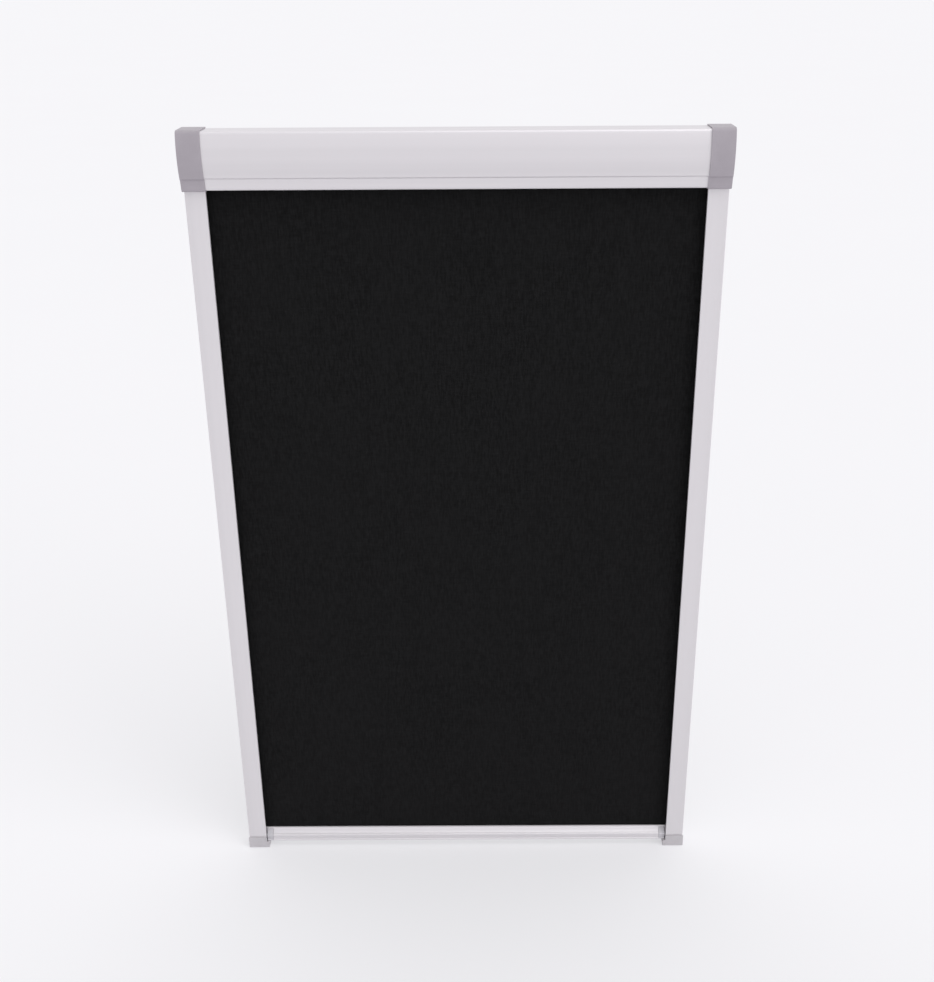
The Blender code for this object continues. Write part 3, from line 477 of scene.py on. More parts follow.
def metal_material(name, rgb, direction, roughness, metallic, lines=0.25, dust=0.12):
    """Extruded or drawn metal with lines along one direction, rubbed edges and a little dust."""
    made, tree, shader, place = start_material(name, roughness, metallic)
    drawn = place_group(tree, "lines", place, Direction=direction)
    bands = remap(tree, drawn["Tone"], *NOISE_RANGE)
    toned = two_tone(tree, bands, rgb, darker=0.965, lighter=1.03)
    aged, dusty = age(tree, place, toned, shaded(rgb, 1.18), reach=0.0004, rub=0.5, dust=dust)
    tree.links.new(aged, shader.inputs["Base Color"])
    rough = remap(tree, drawn["Height"], *NOISE_RANGE, roughness - 0.05, roughness + 0.06)
    tree.links.new(add_share(tree, rough, dusty, 0.3), shader.inputs["Roughness"])
    bump(tree, shader, drawn["Height"], strength=lines, distance=0.00003)
    return made


def moulded_material(name, rgb, roughness, grain=1500.0, depth=0.35, dust=0.15):
    """Moulded plastic with a fine grain, paler rubbed edges and a little dust."""
    made, tree, shader, place = start_material(name, roughness)
    grainy = place_group(tree, "grain", place, Grain=grain)
    clouds = remap(tree, grainy["Tone"], *NOISE_RANGE)
    toned = two_tone(tree, clouds, rgb, darker=0.95, lighter=1.05)
    specks = remap(tree, grainy["Height"], 0.35, 0.75, 0.0, 0.35)
    speckled = mix_colour(tree, specks, toned, shaded(rgb, 0.82))
    aged, _ = age(tree, place, speckled, shaded(rgb, 1.35), reach=0.0005, rub=0.45, dust=dust)
    tree.links.new(aged, shader.inputs["Base Color"])
    rough = remap(tree, grainy["Height"], 0.3, 0.75, roughness - 0.06, roughness + 0.08)
    tree.links.new(rough, shader.inputs["Roughness"])
    bump(tree, shader, grainy["Height"], strength=depth, distance=0.00004)
    return made


def fabric_material(name, rgb, pitch):
    """Coated black cloth with its weave showing through."""
    made, tree, shader, place = start_material(name, roughness=0.82)
    weave = place_group(tree, "weave", place, Pitch=pitch)
    cloud = noise(tree, place, scale=9.0, detail=3.0, roughness=0.55)
    fading = remap(tree, cloud, 0.35, 0.7, 0.0, 0.3)
    toned = two_tone(tree, weave["Tone"], rgb, darker=0.45, lighter=1.55)
    faded = mix_colour(tree, fading, toned, shaded(rgb, 1.35))
    tree.links.new(faded, shader.inputs["Base Color"])
    rough = remap(tree, weave["Height"], 0.3, 1.5, 0.74, 0.9)
    tree.links.new(rough, shader.inputs["Roughness"])
    shader.inputs["Specular IOR Level"].default_value = 0.1
    bump(tree, shader, weave["Height"], strength=0.5, distance=0.00006)
    return made


def fibre_material(name, rgb):
    """Pile or felt, with paler fibre ends."""
    made, tree, shader, place = start_material(name, roughness=0.95)
    fibres = place_group(tree, "fibres", place)
    toned = two_tone(tree, fibres["Tone"], rgb, darker=0.55, lighter=1.7)
    tree.links.new(toned, shader.inputs["Base Color"])
    rough = remap(tree, fibres["Height"], *NOISE_RANGE, 0.86, 1.0)
    tree.links.new(rough, shader.inputs["Roughness"])
    shader.inputs["Sheen Weight"].default_value = 0.3
    bump(tree, shader, fibres["Height"], strength=0.8, distance=0.0001)
    return made


MATERIALS = {}


def make_materials():
    """Every finish of the blind, under the name that the pieces ask for."""
    paint = colours()
    along_x, along_z, any_way = (0.004, 1.0, 1.0), (1.0, 1.0, 0.004), (1.0, 1.0, 1.0)
    for name, direction in (("satin_across", along_x), ("satin_upright", along_z)):
        MATERIALS[name] = metal_material(
            name, paint.aluminium, direction, roughness=0.42, metallic=0.5
        )
    MATERIALS["cap_plastic"] = moulded_material("cap_plastic", paint.cap, roughness=0.48)
    MATERIALS["foot_plastic"] = moulded_material("foot_plastic", paint.foot, roughness=0.5)
    MATERIALS["plug_plastic"] = moulded_material("plug_plastic", paint.plug, roughness=0.5)
    MATERIALS["nylon"] = moulded_material(
        "natural_nylon", paint.nylon, roughness=0.4, grain=900.0, depth=0.15, dust=0.0
    )
    MATERIALS["zinc_steel"] = metal_material(
        "zinc_plate", paint.zinc, any_way, roughness=0.42, metallic=0.9, lines=0.15, dust=0.0
    )
    wound = (0.05, 1.0, 1.0)
    MATERIALS["spring_steel"] = metal_material(
        "drawn_spring", paint.spring, wound, roughness=0.38, metallic=1.0, lines=0.2, dust=0.0
    )
    MATERIALS["black_fabric"] = fabric_material(
        "blackout_cloth", paint.fabric, sizes().thread_pitch
    )
    MATERIALS["grey_pile"] = fibre_material("grey_pile", paint.pile)
    MATERIALS["felt"] = fibre_material("black_felt", paint.felt)
    MATERIALS["spline_vinyl"] = moulded_material(
        "soft_vinyl", paint.vinyl, roughness=0.55, grain=700.0, depth=0.1, dust=0.0
    )


# Working on a piece


def deselect_all():
    """Go into object mode with nothing selected."""
    if bpy.context.mode != "OBJECT":
        bpy.ops.object.mode_set(mode="OBJECT")
    bpy.ops.object.select_all(action="DESELECT")


def alone(piece):
    """Select one piece, in object mode, with nothing else selected."""
    deselect_all()
    piece.select_set(True)
    bpy.context.view_layer.objects.active = piece


def edit_whole(piece):
    """Go into edit mode with all of a piece selected."""
    alone(piece)
    bpy.ops.object.mode_set(mode="EDIT")
    bpy.ops.mesh.select_all(action="SELECT")


def edit_nothing(piece, kind):
    """Go into edit mode with nothing selected, to select edges or faces."""
    alone(piece)
    bpy.ops.object.mode_set(mode="EDIT")
    bpy.ops.mesh.select_mode(type=kind)
    bpy.ops.mesh.select_all(action="DESELECT")


def end_edit():
    """Go back into object mode."""
    bpy.ops.object.mode_set(mode="OBJECT")


def select_faces(piece, wanted):
    """Select the faces of a piece that pass a test, and go into edit mode."""
    edit_nothing(piece, "FACE")
    end_edit()
    for face in piece.data.polygons:
        face.select = wanted(face)
    bpy.ops.object.mode_set(mode="EDIT")


def fill_open_edges():
    """Close the open borders of the piece that is in edit mode."""
    bpy.ops.mesh.select_mode(type="EDGE")
    bpy.ops.mesh.select_all(action="DESELECT")
    bpy.ops.mesh.select_non_manifold()
    bpy.ops.mesh.fill()


def apply_modifier(piece, kind, **settings):
    """Add a modifier to a piece and apply it."""
    modifier = piece.modifiers.new(kind.lower(), kind)
    for name, value in settings.items():
        setattr(modifier, name, value)
    alone(piece)
    bpy.ops.object.modifier_apply(modifier=modifier.name)


def settle(piece):
    """Put a piece's place into its mesh, with its object at the origin."""
    alone(piece)
    bpy.ops.object.transform_apply(location=True, rotation=True, scale=True)


def face_outwards(piece):
    """Merge doubled points and turn all faces outwards."""
    edit_whole(piece)
    bpy.ops.mesh.remove_doubles(threshold=MERGE_DISTANCE)
    bpy.ops.mesh.normals_make_consistent(inside=False)
    end_edit()


def smooth(piece):
    """Shade a piece smooth, with its sharper edges left sharp."""
    alone(piece)
    bpy.ops.object.shade_smooth_by_angle(angle=SMOOTH_ANGLE)


def discard(piece):
    """Delete a piece."""
    alone(piece)
    bpy.ops.object.delete()


# Making a piece


def primitive(operator, name, **settings):
    """Add a primitive at its place with nothing else selected, and name it."""
    deselect_all()
    operator(**settings)
    piece = bpy.context.view_layer.objects.active
    piece.name = name
    piece.data.name = name
    return piece


def link_new(name, data):
    """A new object in the scene that holds the given data."""
    made = bpy.data.objects.new(name, data)
    bpy.context.scene.collection.objects.link(made)
    return made


def merged_copy(node, name):
    """A copy of a CAD piece with its loose triangles merged into whole faces."""
    piece = link_new(name, frame["nodes"][node].data.copy())
    alone(piece)
    bpy.ops.mesh.customdata_custom_splitnormals_clear()
    edit_whole(piece)
    bpy.ops.mesh.remove_doubles(threshold=MERGE_DISTANCE)
    bpy.ops.mesh.dissolve_limited(angle_limit=FLAT_ANGLE)
    end_edit()
    return piece


def copy_piece(source, name, turn):
    """A copy of a piece with its own mesh, moved by a matrix and settled there."""
    piece = link_new(name, source.data.copy())
    piece.matrix_world = turn
    settle(piece)
    return piece


def join_pieces(name, pieces):
    """Join pieces into one mesh under a name."""
    alone(pieces[0])
    for piece in pieces:
        piece.select_set(True)
    bpy.ops.object.join()
    joined = bpy.context.view_layer.objects.active
    joined.name = name
    joined.data.name = name
    return joined


def sweep_helix(name, sides, radius, wire, start, centre, pitch, turns, steps):
    """A wire with the given number of sides, wound about an axis along X and closed at its ends."""
    add_circle = bpy.ops.mesh.primitive_circle_add
    helix = primitive(add_circle, name, vertices=sides, radius=wire, location=(0.0, radius, 0.0))
    settle(helix)
    apply_modifier(
        helix,
        "SCREW",
        axis="X",
        screw_offset=pitch,
        iterations=turns,
        steps=steps,
        render_steps=steps,
    )
    helix.location = (start, centre[1], centre[2])
    settle(helix)
    edit_nothing(helix, "EDGE")
    fill_open_edges()
    face_outwards(helix)
    return helix


def round_edges(piece, radius, segments=2, miter="MITER_ARC"):
    """Round the edges of a piece that turn by more than the sharp angle."""
    apply_modifier(
        piece,
        "BEVEL",
        width=radius,
        segments=segments,
        limit_method="ANGLE",
        angle_limit=SHARP_ANGLE,
        miter_outer=miter,
        use_clamp_overlap=True,
    )


def round_long_edges(piece, radius, axis):
    """Round the sharp edges that run along an axis, and leave the sawn ends sharp."""
    edit_nothing(piece, "EDGE")
    bpy.ops.mesh.edges_select_sharp(sharpness=SHARP_ANGLE)
    end_edit()
    weights = piece.data.attributes.new("bevel_weight_edge", "FLOAT", "EDGE")
    for edge in piece.data.edges:
        first, second = (piece.data.vertices[index].co for index in edge.vertices)
        step = second - first
        if edge.select and abs(step[axis]) > PARALLEL * step.length:
            weights.data[edge.index].value = 1.0
    apply_modifier(
        piece,
        "BEVEL",
        width=radius,
        segments=2,
        limit_method="WEIGHT",
        use_clamp_overlap=True,
    )


def dress(piece, look, node):
    """Give a finished piece its look, hang it on the body of the CAD node that it stands for, and hide that node.
    """
    piece.data.materials.clear()
    piece.data.materials.append(MATERIALS[look])
    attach(piece, BODY_OF[node])
    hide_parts(node)


def finish_copy(piece, node, look):
    """Smooth a rounded copy of a CAD piece and give it its finish."""
    smooth(piece)
    apply_modifier(piece, "WEIGHTED_NORMAL", keep_sharp=True)
    dress(piece, look, node)


def finish_node(node, name, look, radius, segments=2, miter="MITER_ARC"):
    """Remake a CAD piece with rounded edges and its finish."""
    piece = merged_copy(node, name)
    round_edges(piece, radius, segments, miter)
    finish_copy(piece, node, look)


# Pieces with a form of their own


def refill_end(piece, place):
    """Close a piece's flat end at a place along X anew, around what runs through it."""
    select_faces(piece, lambda face: (
        abs(face.normal.x) > PARALLEL and abs(face.center.x - place) < PLANE_TOLERANCE
    ))
    bpy.ops.mesh.delete(type="FACE")
    fill_open_edges()
    bpy.ops.mesh.select_all(action="SELECT")
    bpy.ops.mesh.normals_make_consistent(inside=False)
    bpy.ops.mesh.dissolve_limited(angle_limit=FLAT_ANGLE)
    end_edit()


def mirror_right_half(piece):
    """Make the left half of a piece from its right half."""
    edit_whole(piece)
    bpy.ops.mesh.bisect(plane_co=(0.0, 0.0, 0.0), plane_no=(1.0, 0.0, 0.0), clear_inner=True)
    end_edit()
    apply_modifier(piece, "MIRROR", merge_threshold=MERGE_DISTANCE)
    face_outwards(piece)
    edit_whole(piece)
    bpy.ops.mesh.dissolve_limited(angle_limit=FLAT_ANGLE)
    end_edit()


def press_cove(bar):
    """Hollow the slope above the bar's nose, deepest towards the nose."""
    strips, low_bias = 10, 1.5
    leaning, foot_share = 0.5, 0.9
    slopes = [
        face
        for face in bar.data.polygons
        if face.normal.y < -leaning and face.normal.z > leaning
    ]
    slope = max(slopes, key=lambda face: face.area)
    outward = slope.normal.copy()
    down = Vector((1.0, 0.0, 0.0)).cross(outward)
    corners = [bar.data.vertices[index].co for index in slope.vertices]
    level = corners[0].dot(outward)
    start = min(corner.dot(down) for corner in corners)
    run = max(corner.dot(down) for corner in corners) - start
    end = max(corner.x for corner in corners if corner.dot(down) - start > run * foot_share)
    for strip in range(1, strips):
        select_faces(bar, lambda face: (
            abs(face.center.dot(outward) - level) < PLANE_TOLERANCE
            and face.normal.dot(outward) > PARALLEL
        ))
        bpy.ops.mesh.bisect(plane_co=down * (start + run * strip / strips), plane_no=down)
        end_edit()
    for vertex in bar.data.vertices:
        share = (vertex.co.dot(down) - start) / run
        if abs(vertex.co.dot(outward) - level) < PLANE_TOLERANCE and 0.0 < share < 1.0:
            depth = sizes().bar_cove * math.sin(math.pi * share ** low_bias)
            vertex.co -= outward * depth
    refill_end(bar, end)
    mirror_right_half(bar)


def cut_recess(screw, face, axis):
    """Cut a cross recess into a screw's head, whose face looks along -X."""
    depth, arm, tip_share, slope = 0.0013, 0.0023, 0.45, 1.45
    for turn in (0.0, math.pi / 2):
        blade = primitive(
            bpy.ops.mesh.primitive_cone_add,
            "recess_blade",
            vertices=4,
            radius1=arm * math.sqrt(2),
            radius2=arm * tip_share * math.sqrt(2),
            depth=depth * 2,
            rotation=(0.0, 0.0, math.pi / 4),
        )
        settle(blade)
        blade.scale = (1.0, sizes().screw_slot / (slope * arm), 1.0)
        settle(blade)
        blade.rotation_euler = (0.0, math.pi / 2, 0.0)
        settle(blade)
        blade.rotation_euler = (turn + math.pi / 4, 0.0, 0.0)
        blade.location = (face, axis.y, axis.z)
        settle(blade)
        apply_modifier(screw, "BOOLEAN", object=blade, operation="DIFFERENCE", solver="EXACT")
        discard(blade)


def make_screws():
    """The caps' screws: one is modelled with recess and thread, and the others are its copies."""
    first = "cap_screw_left_upper"
    low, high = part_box(first)
    centre = centre_of(first)
    screw = merged_copy(first, "screw_pattern")
    cut_recess(screw, low.x, centre)
    head, pitch, shank, crest = 0.0024, 0.0009, 0.0012, 0.00028
    thread = sweep_helix(
        "thread",
        sides=3,
        radius=shank + crest / 4,
        wire=crest,
        start=low.x + head,
        centre=centre,
        pitch=pitch,
        turns=int((high.x - low.x - head) / pitch) - 1,
        steps=14,
    )
    screw = join_pieces("screw_pattern", [screw, thread])
    smooth(screw)
    for side in SIDES:
        for level in ("upper", "lower"):
            node = f"cap_screw_{side}_{level}"
            turn = Matrix.Translation(centre_of(node))
            if side == "right":
                turn = turn @ Matrix.Rotation(math.pi, 4, "Z")
            turn = turn @ Matrix.Translation(-centre)
            piece = copy_piece(screw, f"countersunk_screw_{side}_{level}", turn)
            dress(piece, "zinc_steel", node)
    discard(screw)


def add_bar(name, centre, along, run, width, height):
    """A plain bar with its length along an axis, its height in Y and its width across both."""
    bar = primitive(bpy.ops.mesh.primitive_cube_add, name, size=1.0, location=centre)
    scale = [width, height, width]
    scale[along] = run
    bar.scale = scale
    settle(bar)
    return bar


def make_pile(node, along, root, tip):
    """A pile strip: woven backing along an axis, and tufts that stand on it.

    Along is the axis number of the strip. Root and tip are the depths in Y of the backing's
    outer face and of the tufts' ends.
    """
    name = node.replace("seal", "strip")
    low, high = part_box(node)
    middle = centre_of(node)
    across = X + Z - along
    run = high[along] - low[along]
    inward = 1 if tip > root else -1
    middle.y = root + inward * BACKING_THICKNESS / 2
    backing = add_bar(
        name, middle, along, run, high[across] - low[across], BACKING_THICKNESS
    )
    round_edges(backing, THIN_WALL_ROUND, 1)

    pitch, width = sizes().tuft_pitch, sizes().tuft_width
    foot = BACKING_THICKNESS * 0.7
    stand = abs(tip - root) - foot
    core_height = stand * 0.78
    middle.y = root + inward * (foot + core_height / 2)
    core = add_bar(
        "pile_core", middle, along, run - pitch, width * (TUFT_ROWS - 0.9), core_height
    )
    draw = random.Random(17)
    tufts = []
    for column in range(TUFT_COLUMNS):
        for row in range(TUFT_ROWS):
            place = [0.0, root + inward * (foot + stand / 2), 0.0]
            place[along] = low[along] + pitch * (column + 0.7 + draw.uniform(-0.25, 0.25))
            aside = width * (row - (TUFT_ROWS - 1) / 2)
            place[across] = (low[across] + high[across]) / 2 + aside
            tuft = primitive(
                bpy.ops.mesh.primitive_cone_add,
                "tuft",
                vertices=4,
                radius1=width * 0.62,
                radius2=width * draw.uniform(0.25, 0.4),
                depth=stand * draw.uniform(0.95, 1.0),
                location=place,
                rotation=(
                    -inward * math.pi / 2 + draw.uniform(-0.03, 0.03),
                    draw.uniform(-3, 3),
                    0.0,
                ),
            )
            tufts.append(tuft)
    pile = join_pieces("pile", tufts)
    settle(pile)
    step = [0.0, 0.0, 0.0]
    step[along] = pitch * TUFT_COLUMNS
    apply_modifier(
        pile,
        "ARRAY",
        count=int((run - pitch * 0.4) / step[along]),
        use_relative_offset=False,
        use_constant_offset=True,
        constant_offset_displace=step,
    )
    strip = join_pieces(name, [backing, core, pile])
    smooth(strip)
    dress(strip, "grey_pile", node)


def hang_fabric():
    """The drop of cloth between the roller and the bar, with the slight slack it hangs with."""
    drop = FABRIC_HIGH.z - FABRIC_LOW.z
    sheet = primitive(
        bpy.ops.mesh.primitive_grid_add,
        "fabric_drop",
        x_subdivisions=96,
        y_subdivisions=160,
        size=1.0,
        location=centre_of("blackout_fabric"),
        rotation=(math.pi / 2, 0.0, 0.0),
    )
    sheet.scale = (FABRIC.x, drop, 1.0)
    settle(sheet)
    wave = sizes().fabric_wave
    for vertex in sheet.data.vertices:
        across = vertex.co.x / FABRIC.x
        down = (FABRIC_HIGH.z - vertex.co.z) / drop
        held = math.sin(math.pi * down) * math.cos(math.pi * across)
        ripple = sum(
            share * math.sin(waves_across * across + waves_down * down + offset)
            for share, waves_across, waves_down, offset in RIPPLES
        )
        vertex.co.y += wave * held * ripple
    apply_modifier(sheet, "SOLIDIFY", thickness=sizes().fabric_thickness, offset=0.0)
    smooth(sheet)
    dress(sheet, "black_fabric", "blackout_fabric")
    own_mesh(sheet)


def wind_fabric():
    """The turns of cloth that stay on the roller, wound as a spiral with air between the turns."""
    turns = sizes().wound_turns
    thickness = sizes().fabric_thickness * 0.93
    centre = Vector(SPIN["pos_m"])
    outer = size_of("fabric_roll").z / 2 - thickness / 2
    inner = outer - turns * sizes().fabric_thickness
    roll = primitive(
        bpy.ops.mesh.primitive_grid_add,
        "wound_fabric",
        x_subdivisions=24,
        y_subdivisions=90,
        size=1.0,
    )
    for vertex in roll.data.vertices:
        share = vertex.co.y + 0.5
        angle = 2 * math.pi * turns * (1 - share)
        radius = inner + (outer - inner) * share
        along = vertex.co.x * FABRIC.x
        vertex.co = centre + Vector((along, radius * math.cos(angle), radius * math.sin(angle)))
    apply_modifier(roll, "SOLIDIFY", thickness=thickness, offset=0.0)
    face_outwards(roll)
    smooth(roll)
    dress(roll, "black_fabric", "fabric_roll")


def wind_spring():
    """Torsion spring as a wound round wire."""
    low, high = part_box("torsion_spring")
    turns = sizes().spring_turns
    wire = 0.0006
    spring = sweep_helix(
        "wound_spring",
        sides=12,
        radius=(high.z - low.z) / 2 - wire,
        wire=wire,
        start=low.x + wire,
        centre=Vector(SPIN["pos_m"]),
        pitch=(high.x - low.x - 2 * wire) / turns,
        turns=turns,
        steps=28,
    )
    smooth(spring)
    dress(spring, "spring_steel", "torsion_spring")


# Studio


def add_lamp(name, azimuth, elevation, strength):
    """A distant soft lamp, as a large diffuser gives. It returns the light it puts on the floor."""
    tilt, turn = math.radians(90 - elevation), math.radians(azimuth)
    bpy.ops.object.light_add(type="SUN", location=(0.0, 0.0, 2.0), rotation=(tilt, 0.0, turn))
    lamp = bpy.context.view_layer.objects.active
    lamp.name = name
    lamp.data.energy = strength
    lamp.data.angle = math.radians(LAMP_SPREAD)
    return strength * math.sin(math.radians(elevation)) / math.pi


def seen_directly(tree):
    """1 where the camera, a reflection or a transmission looks, and 0 for the light itself."""
    seen = add_node(tree, "LightPath").outputs
    direct = math_node(tree, "MAXIMUM", seen["Is Camera Ray"], seen["Is Glossy Ray"])
    return math_node(tree, "MAXIMUM", direct, seen["Is Transmission Ray"])


def lay_floor(rgb):
    """Wide pale floor that the blind stands on."""
    floor = primitive(
        bpy.ops.mesh.primitive_circle_add,
        "studio_floor",
        vertices=96,
        radius=80.0,
        fill_type="NGON",
        location=(0.0, 0.0, cad_box[0].z - FLOOR_GAP),
    )
    settle(floor)
    made, tree, shader, place = start_material("studio_floor", roughness=0.9)
    shader.inputs["Specular IOR Level"].default_value = 0.0
    cloudy = noise(tree, place, scale=1.6, detail=3.0)
    toned = two_tone(tree, cloudy, rgb, darker=0.99, lighter=1.01)
    tree.links.new(toned, shader.inputs["Base Color"])
    backdrop = add_node(tree, "Emission", {"Color": opaque(rgb), "Strength": 1.0}).outputs[0]
    share = math_node(tree, "MULTIPLY", seen_directly(tree), FLOOR_GLOW)
    mixed = add_node(tree, "MixShader", {0: share, 1: shader.outputs[0], 2: backdrop}).outputs[0]
    tree.links.new(mixed, tree.nodes["Material Output"].inputs["Surface"])
    floor.data.materials.append(made)


def light_world(rgb):
    """Even soft light, and a pale backdrop where the camera or a gloss sees past the floor."""
    world = bpy.data.worlds.new("studio_world")
    bpy.context.scene.world = world
    world.use_nodes = True
    tree = world.node_tree
    tree.nodes.clear()
    white = (1.0, 1.0, 1.0, 1.0)
    light = add_node(tree, "Background", {"Color": white, "Strength": AMBIENT}).outputs[0]
    backdrop = add_node(tree, "Background", {"Color": opaque(rgb), "Strength": 1.0}).outputs[0]
    mixed = add_node(tree, "MixShader", {0: seen_directly(tree), 1: light, 2: backdrop}).outputs[0]
    out = add_node(tree, "OutputWorld")
    tree.links.new(mixed, out.inputs["Surface"])


def place_camera():
    """Camera at the photograph's place and angle."""
    data = bpy.data.cameras.new("camera")
    camera = link_new("camera", data)
    forward = Vector((
        math.sin(CAMERA_YAW) * math.cos(CAMERA_PITCH),
        math.cos(CAMERA_YAW) * math.cos(CAMERA_PITCH),
        -math.sin(CAMERA_PITCH),
    ))
    level = forward.cross(Vector((0.0, 0.0, 1.0))).normalized()
    upward = level.cross(forward)
    right = level * math.cos(CAMERA_ROLL) + upward * math.sin(CAMERA_ROLL)
    turn = Matrix((right, right.cross(forward), -forward)).transposed()
    camera.matrix_world = Matrix.Translation(CAMERA_PLACE) @ turn.to_4x4()
    data.sensor_width = SENSOR_WIDTH
    long_side = max(IMAGE_WIDTH, IMAGE_HEIGHT)
    data.lens = FOCAL_PIXELS / long_side * SENSOR_WIDTH
    data.shift_x = -CROP_OFFSET_PIXELS / long_side
    bpy.context.scene.camera = camera


# Operators


class BLIND_OT_finishes(bpy.types.Operator):
    """Make the node groups and the materials that all pieces use"""

    bl_idname = "blind.finishes"
    bl_label = "Make Finishes"
    bl_options = {"REGISTER", "UNDO"}

    def execute(self, context):
        make_groups()
        make_materials()
        return {"FINISHED"}


class BLIND_OT_cassette(bpy.types.Operator):
    """Finish the cassette's fascia and its back profile"""

    bl_idname = "blind.cassette"
    bl_label = "Cassette"
    bl_options = {"REGISTER", "UNDO"}

    def execute(self, context):
        radius = sizes().extrusion_round
        finish_node("cassette_fascia", "fascia_extrusion", "satin_across", radius)
        finish_node("cassette_back", "back_extrusion", "satin_across", radius)
        return {"FINISHED"}


class BLIND_OT_end_caps(bpy.types.Operator):
    """Finish the two moulded end caps"""

    bl_idname = "blind.end_caps"
    bl_label = "End Caps"
    bl_options = {"REGISTER", "UNDO"}

    def execute(self, context):
        radius = sizes().moulding_round
        for side in SIDES:
            finish_node(f"end_cap_{side}", f"cap_moulding_{side}", "cap_plastic", radius)
        return {"FINISHED"}


class BLIND_OT_channels(bpy.types.Operator):
    """Finish the two guide channels and their feet"""

    bl_idname = "blind.channels"
    bl_label = "Side Channels and Feet"
    bl_options = {"REGISTER", "UNDO"}

    def execute(self, context):
        for side in SIDES:
            channel, foot = f"channel_extrusion_{side}", f"foot_moulding_{side}"
            finish_node(f"channel_{side}", channel, "satin_upright", sizes().extrusion_round)
            radius = sizes().moulding_round
            finish_node(f"foot_{side}", foot, "foot_plastic", radius, miter="MITER_SHARP")
        return {"FINISHED"}


class BLIND_OT_bottom_bar(bpy.types.Operator):
    """Finish the bottom bar, its end plugs and brakes"""

    bl_idname = "blind.bottom_bar"
    bl_label = "Bottom Bar"
    bl_options = {"REGISTER", "UNDO"}

    def execute(self, context):
        bar = merged_copy("bottom_bar", "bar_extrusion")
        press_cove(bar)
        round_long_edges(bar, sizes().extrusion_round, X)
        finish_copy(bar, "bottom_bar", "satin_across")
        finish_node("bar_seal", "bar_felt_strip", "felt", SMALL_ROUND)
        finish_node("bar_spline", "bar_vinyl_cord", "spline_vinyl", SMALL_ROUND)
        plug = merged_copy("end_plug_right", "plug_moulding_right")
        round_edges(plug, sizes().moulding_round)
        mirror = Matrix.Scale(-1.0, 4, (1.0, 0.0, 0.0))
        twin = copy_piece(plug, "plug_moulding_left", mirror)
        face_outwards(twin)
        finish_copy(plug, "end_plug_right", "plug_plastic")
        finish_copy(twin, "end_plug_left", "plug_plastic")
        for side in SIDES:
            leaf, pad = f"brake_leaf_{side}", f"brake_felt_{side}"
            finish_node(f"brake_spring_{side}", leaf, "spring_steel", LEAF_ROUND, 1)
            finish_node(f"brake_pad_{side}", pad, "felt", SMALL_ROUND)
        return {"FINISHED"}


class BLIND_OT_fabric(bpy.types.Operator):
    """Hang the fabric and wind what is left of it on the roller"""

    bl_idname = "blind.fabric"
    bl_label = "Fabric"
    bl_options = {"REGISTER", "UNDO"}

    def execute(self, context):
        hang_fabric()
        wind_fabric()
        return {"FINISHED"}


class BLIND_OT_roller(bpy.types.Operator):
    """Finish the roller tube, its plugs, bearings and spring"""

    bl_idname = "blind.roller"
    bl_label = "Roller"
    bl_options = {"REGISTER", "UNDO"}

    def execute(self, context):
        finish_node("roller_tube", "tube_extrusion", "satin_across", THIN_WALL_ROUND, 1)
        finish_node("roller_spline", "roller_vinyl_cord", "spline_vinyl", CORD_ROUND, 1)
        for plug in ("idler_plug", "drive_plug", "spring_collar"):
            finish_node(plug, f"{plug}_moulding", "plug_plastic", SMALL_ROUND)
        finish_node("idler_bush", "idler_nylon_bush", "nylon", SMALL_ROUND)
        finish_node("idler_pin", "idler_steel_pin", "zinc_steel", PIN_ROUND)
        finish_node("spring_shaft", "hexagon_shaft", "zinc_steel", SMALL_ROUND)
        wind_spring()
        return {"FINISHED"}


class BLIND_OT_seals(bpy.types.Operator):
    """Finish the pile strips of the channels and the cassette"""

    bl_idname = "blind.seals"
    bl_label = "Pile Seals"
    bl_options = {"REGISTER", "UNDO"}

    def execute(self, context):
        low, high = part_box("cassette_seal")
        make_pile("cassette_seal", X, root=high.y, tip=low.y)
        for node in CHANNEL_SEALS:
            low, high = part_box(node)
            front = "front" in node
            root, tip = (low.y, high.y) if front else (high.y, low.y)
            make_pile(node, Z, root, tip)
        return {"FINISHED"}


class BLIND_OT_fixings(bpy.types.Operator):
    """Finish the sash brackets and the screws of the end caps"""

    bl_idname = "blind.fixings"
    bl_label = "Brackets and Screws"
    bl_options = {"REGISTER", "UNDO"}

    def execute(self, context):
        radius = sizes().pressing_round
        for side in SIDES:
            finish_node(f"bracket_{side}", f"bracket_pressing_{side}", "zinc_steel", radius)
        make_screws()
        return {"FINISHED"}


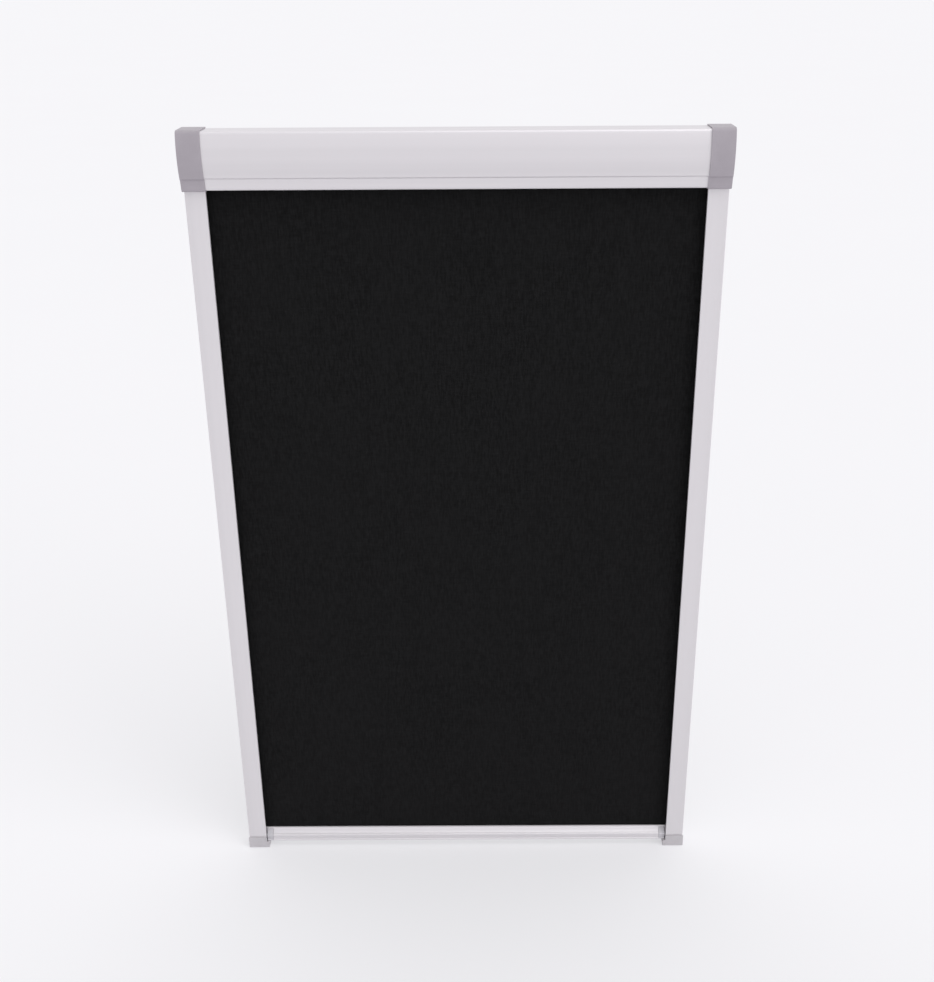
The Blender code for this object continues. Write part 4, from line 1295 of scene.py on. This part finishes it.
class BLIND_OT_studio(bpy.types.Operator):
    """Set up the floor, the soft light and the camera"""

    bl_idname = "blind.studio"
    bl_label = "Studio"
    bl_options = {"REGISTER", "UNDO"}

    def execute(self, context):
        floor_colour = colours().floor
        lay_floor(floor_colour)
        on_floor = AMBIENT
        for lamp in LAMPS:
            on_floor += add_lamp(*lamp)
        light_world([c * (FLOOR_GLOW + (1 - FLOOR_GLOW) * on_floor) for c in floor_colour])
        place_camera()
        bpy.context.scene.view_settings.view_transform = "Standard"
        return {"FINISHED"}


STEPS = (
    BLIND_OT_finishes,
    BLIND_OT_cassette,
    BLIND_OT_end_caps,
    BLIND_OT_channels,
    BLIND_OT_bottom_bar,
    BLIND_OT_fabric,
    BLIND_OT_roller,
    BLIND_OT_seals,
    BLIND_OT_fixings,
    BLIND_OT_studio,
)


class BLIND_PT_panel(bpy.types.Panel):
    """Lists the blind's pieces, sizes and colours in the sidebar"""

    bl_idname = "BLIND_PT_panel"
    bl_label = "Roof Window Blind"
    bl_space_type = "VIEW_3D"
    bl_region_type = "UI"
    bl_category = "Roof Blind"

    def draw(self, context):
        for step in STEPS:
            self.layout.operator(step.bl_idname)
        for settings in (context.scene.blind_sizes, context.scene.blind_colours):
            box = self.layout.box()
            for name in settings.__annotations__:
                box.prop(settings, name)


CLASSES = (BlindSizes, BlindColours, *STEPS, BLIND_PT_panel)


def register():
    """Register the classes and give the scene its sizes and colours."""
    for each in CLASSES:
        bpy.utils.register_class(each)
    bpy.types.Scene.blind_sizes = PointerProperty(type=BlindSizes)
    bpy.types.Scene.blind_colours = PointerProperty(type=BlindColours)


def unregister():
    """Take away what register added."""
    del bpy.types.Scene.blind_colours
    del bpy.types.Scene.blind_sizes
    for each in reversed(CLASSES):
        bpy.utils.unregister_class(each)


def main():
    """Make the whole blind and its studio."""
    register()
    bpy.ops.blind.finishes()
    bpy.ops.blind.cassette()
    bpy.ops.blind.end_caps()
    bpy.ops.blind.channels()
    bpy.ops.blind.bottom_bar()
    bpy.ops.blind.fabric()
    bpy.ops.blind.roller()
    bpy.ops.blind.seals()
    bpy.ops.blind.fixings()
    bpy.ops.blind.studio()


if __name__ == "__main__":
    main()
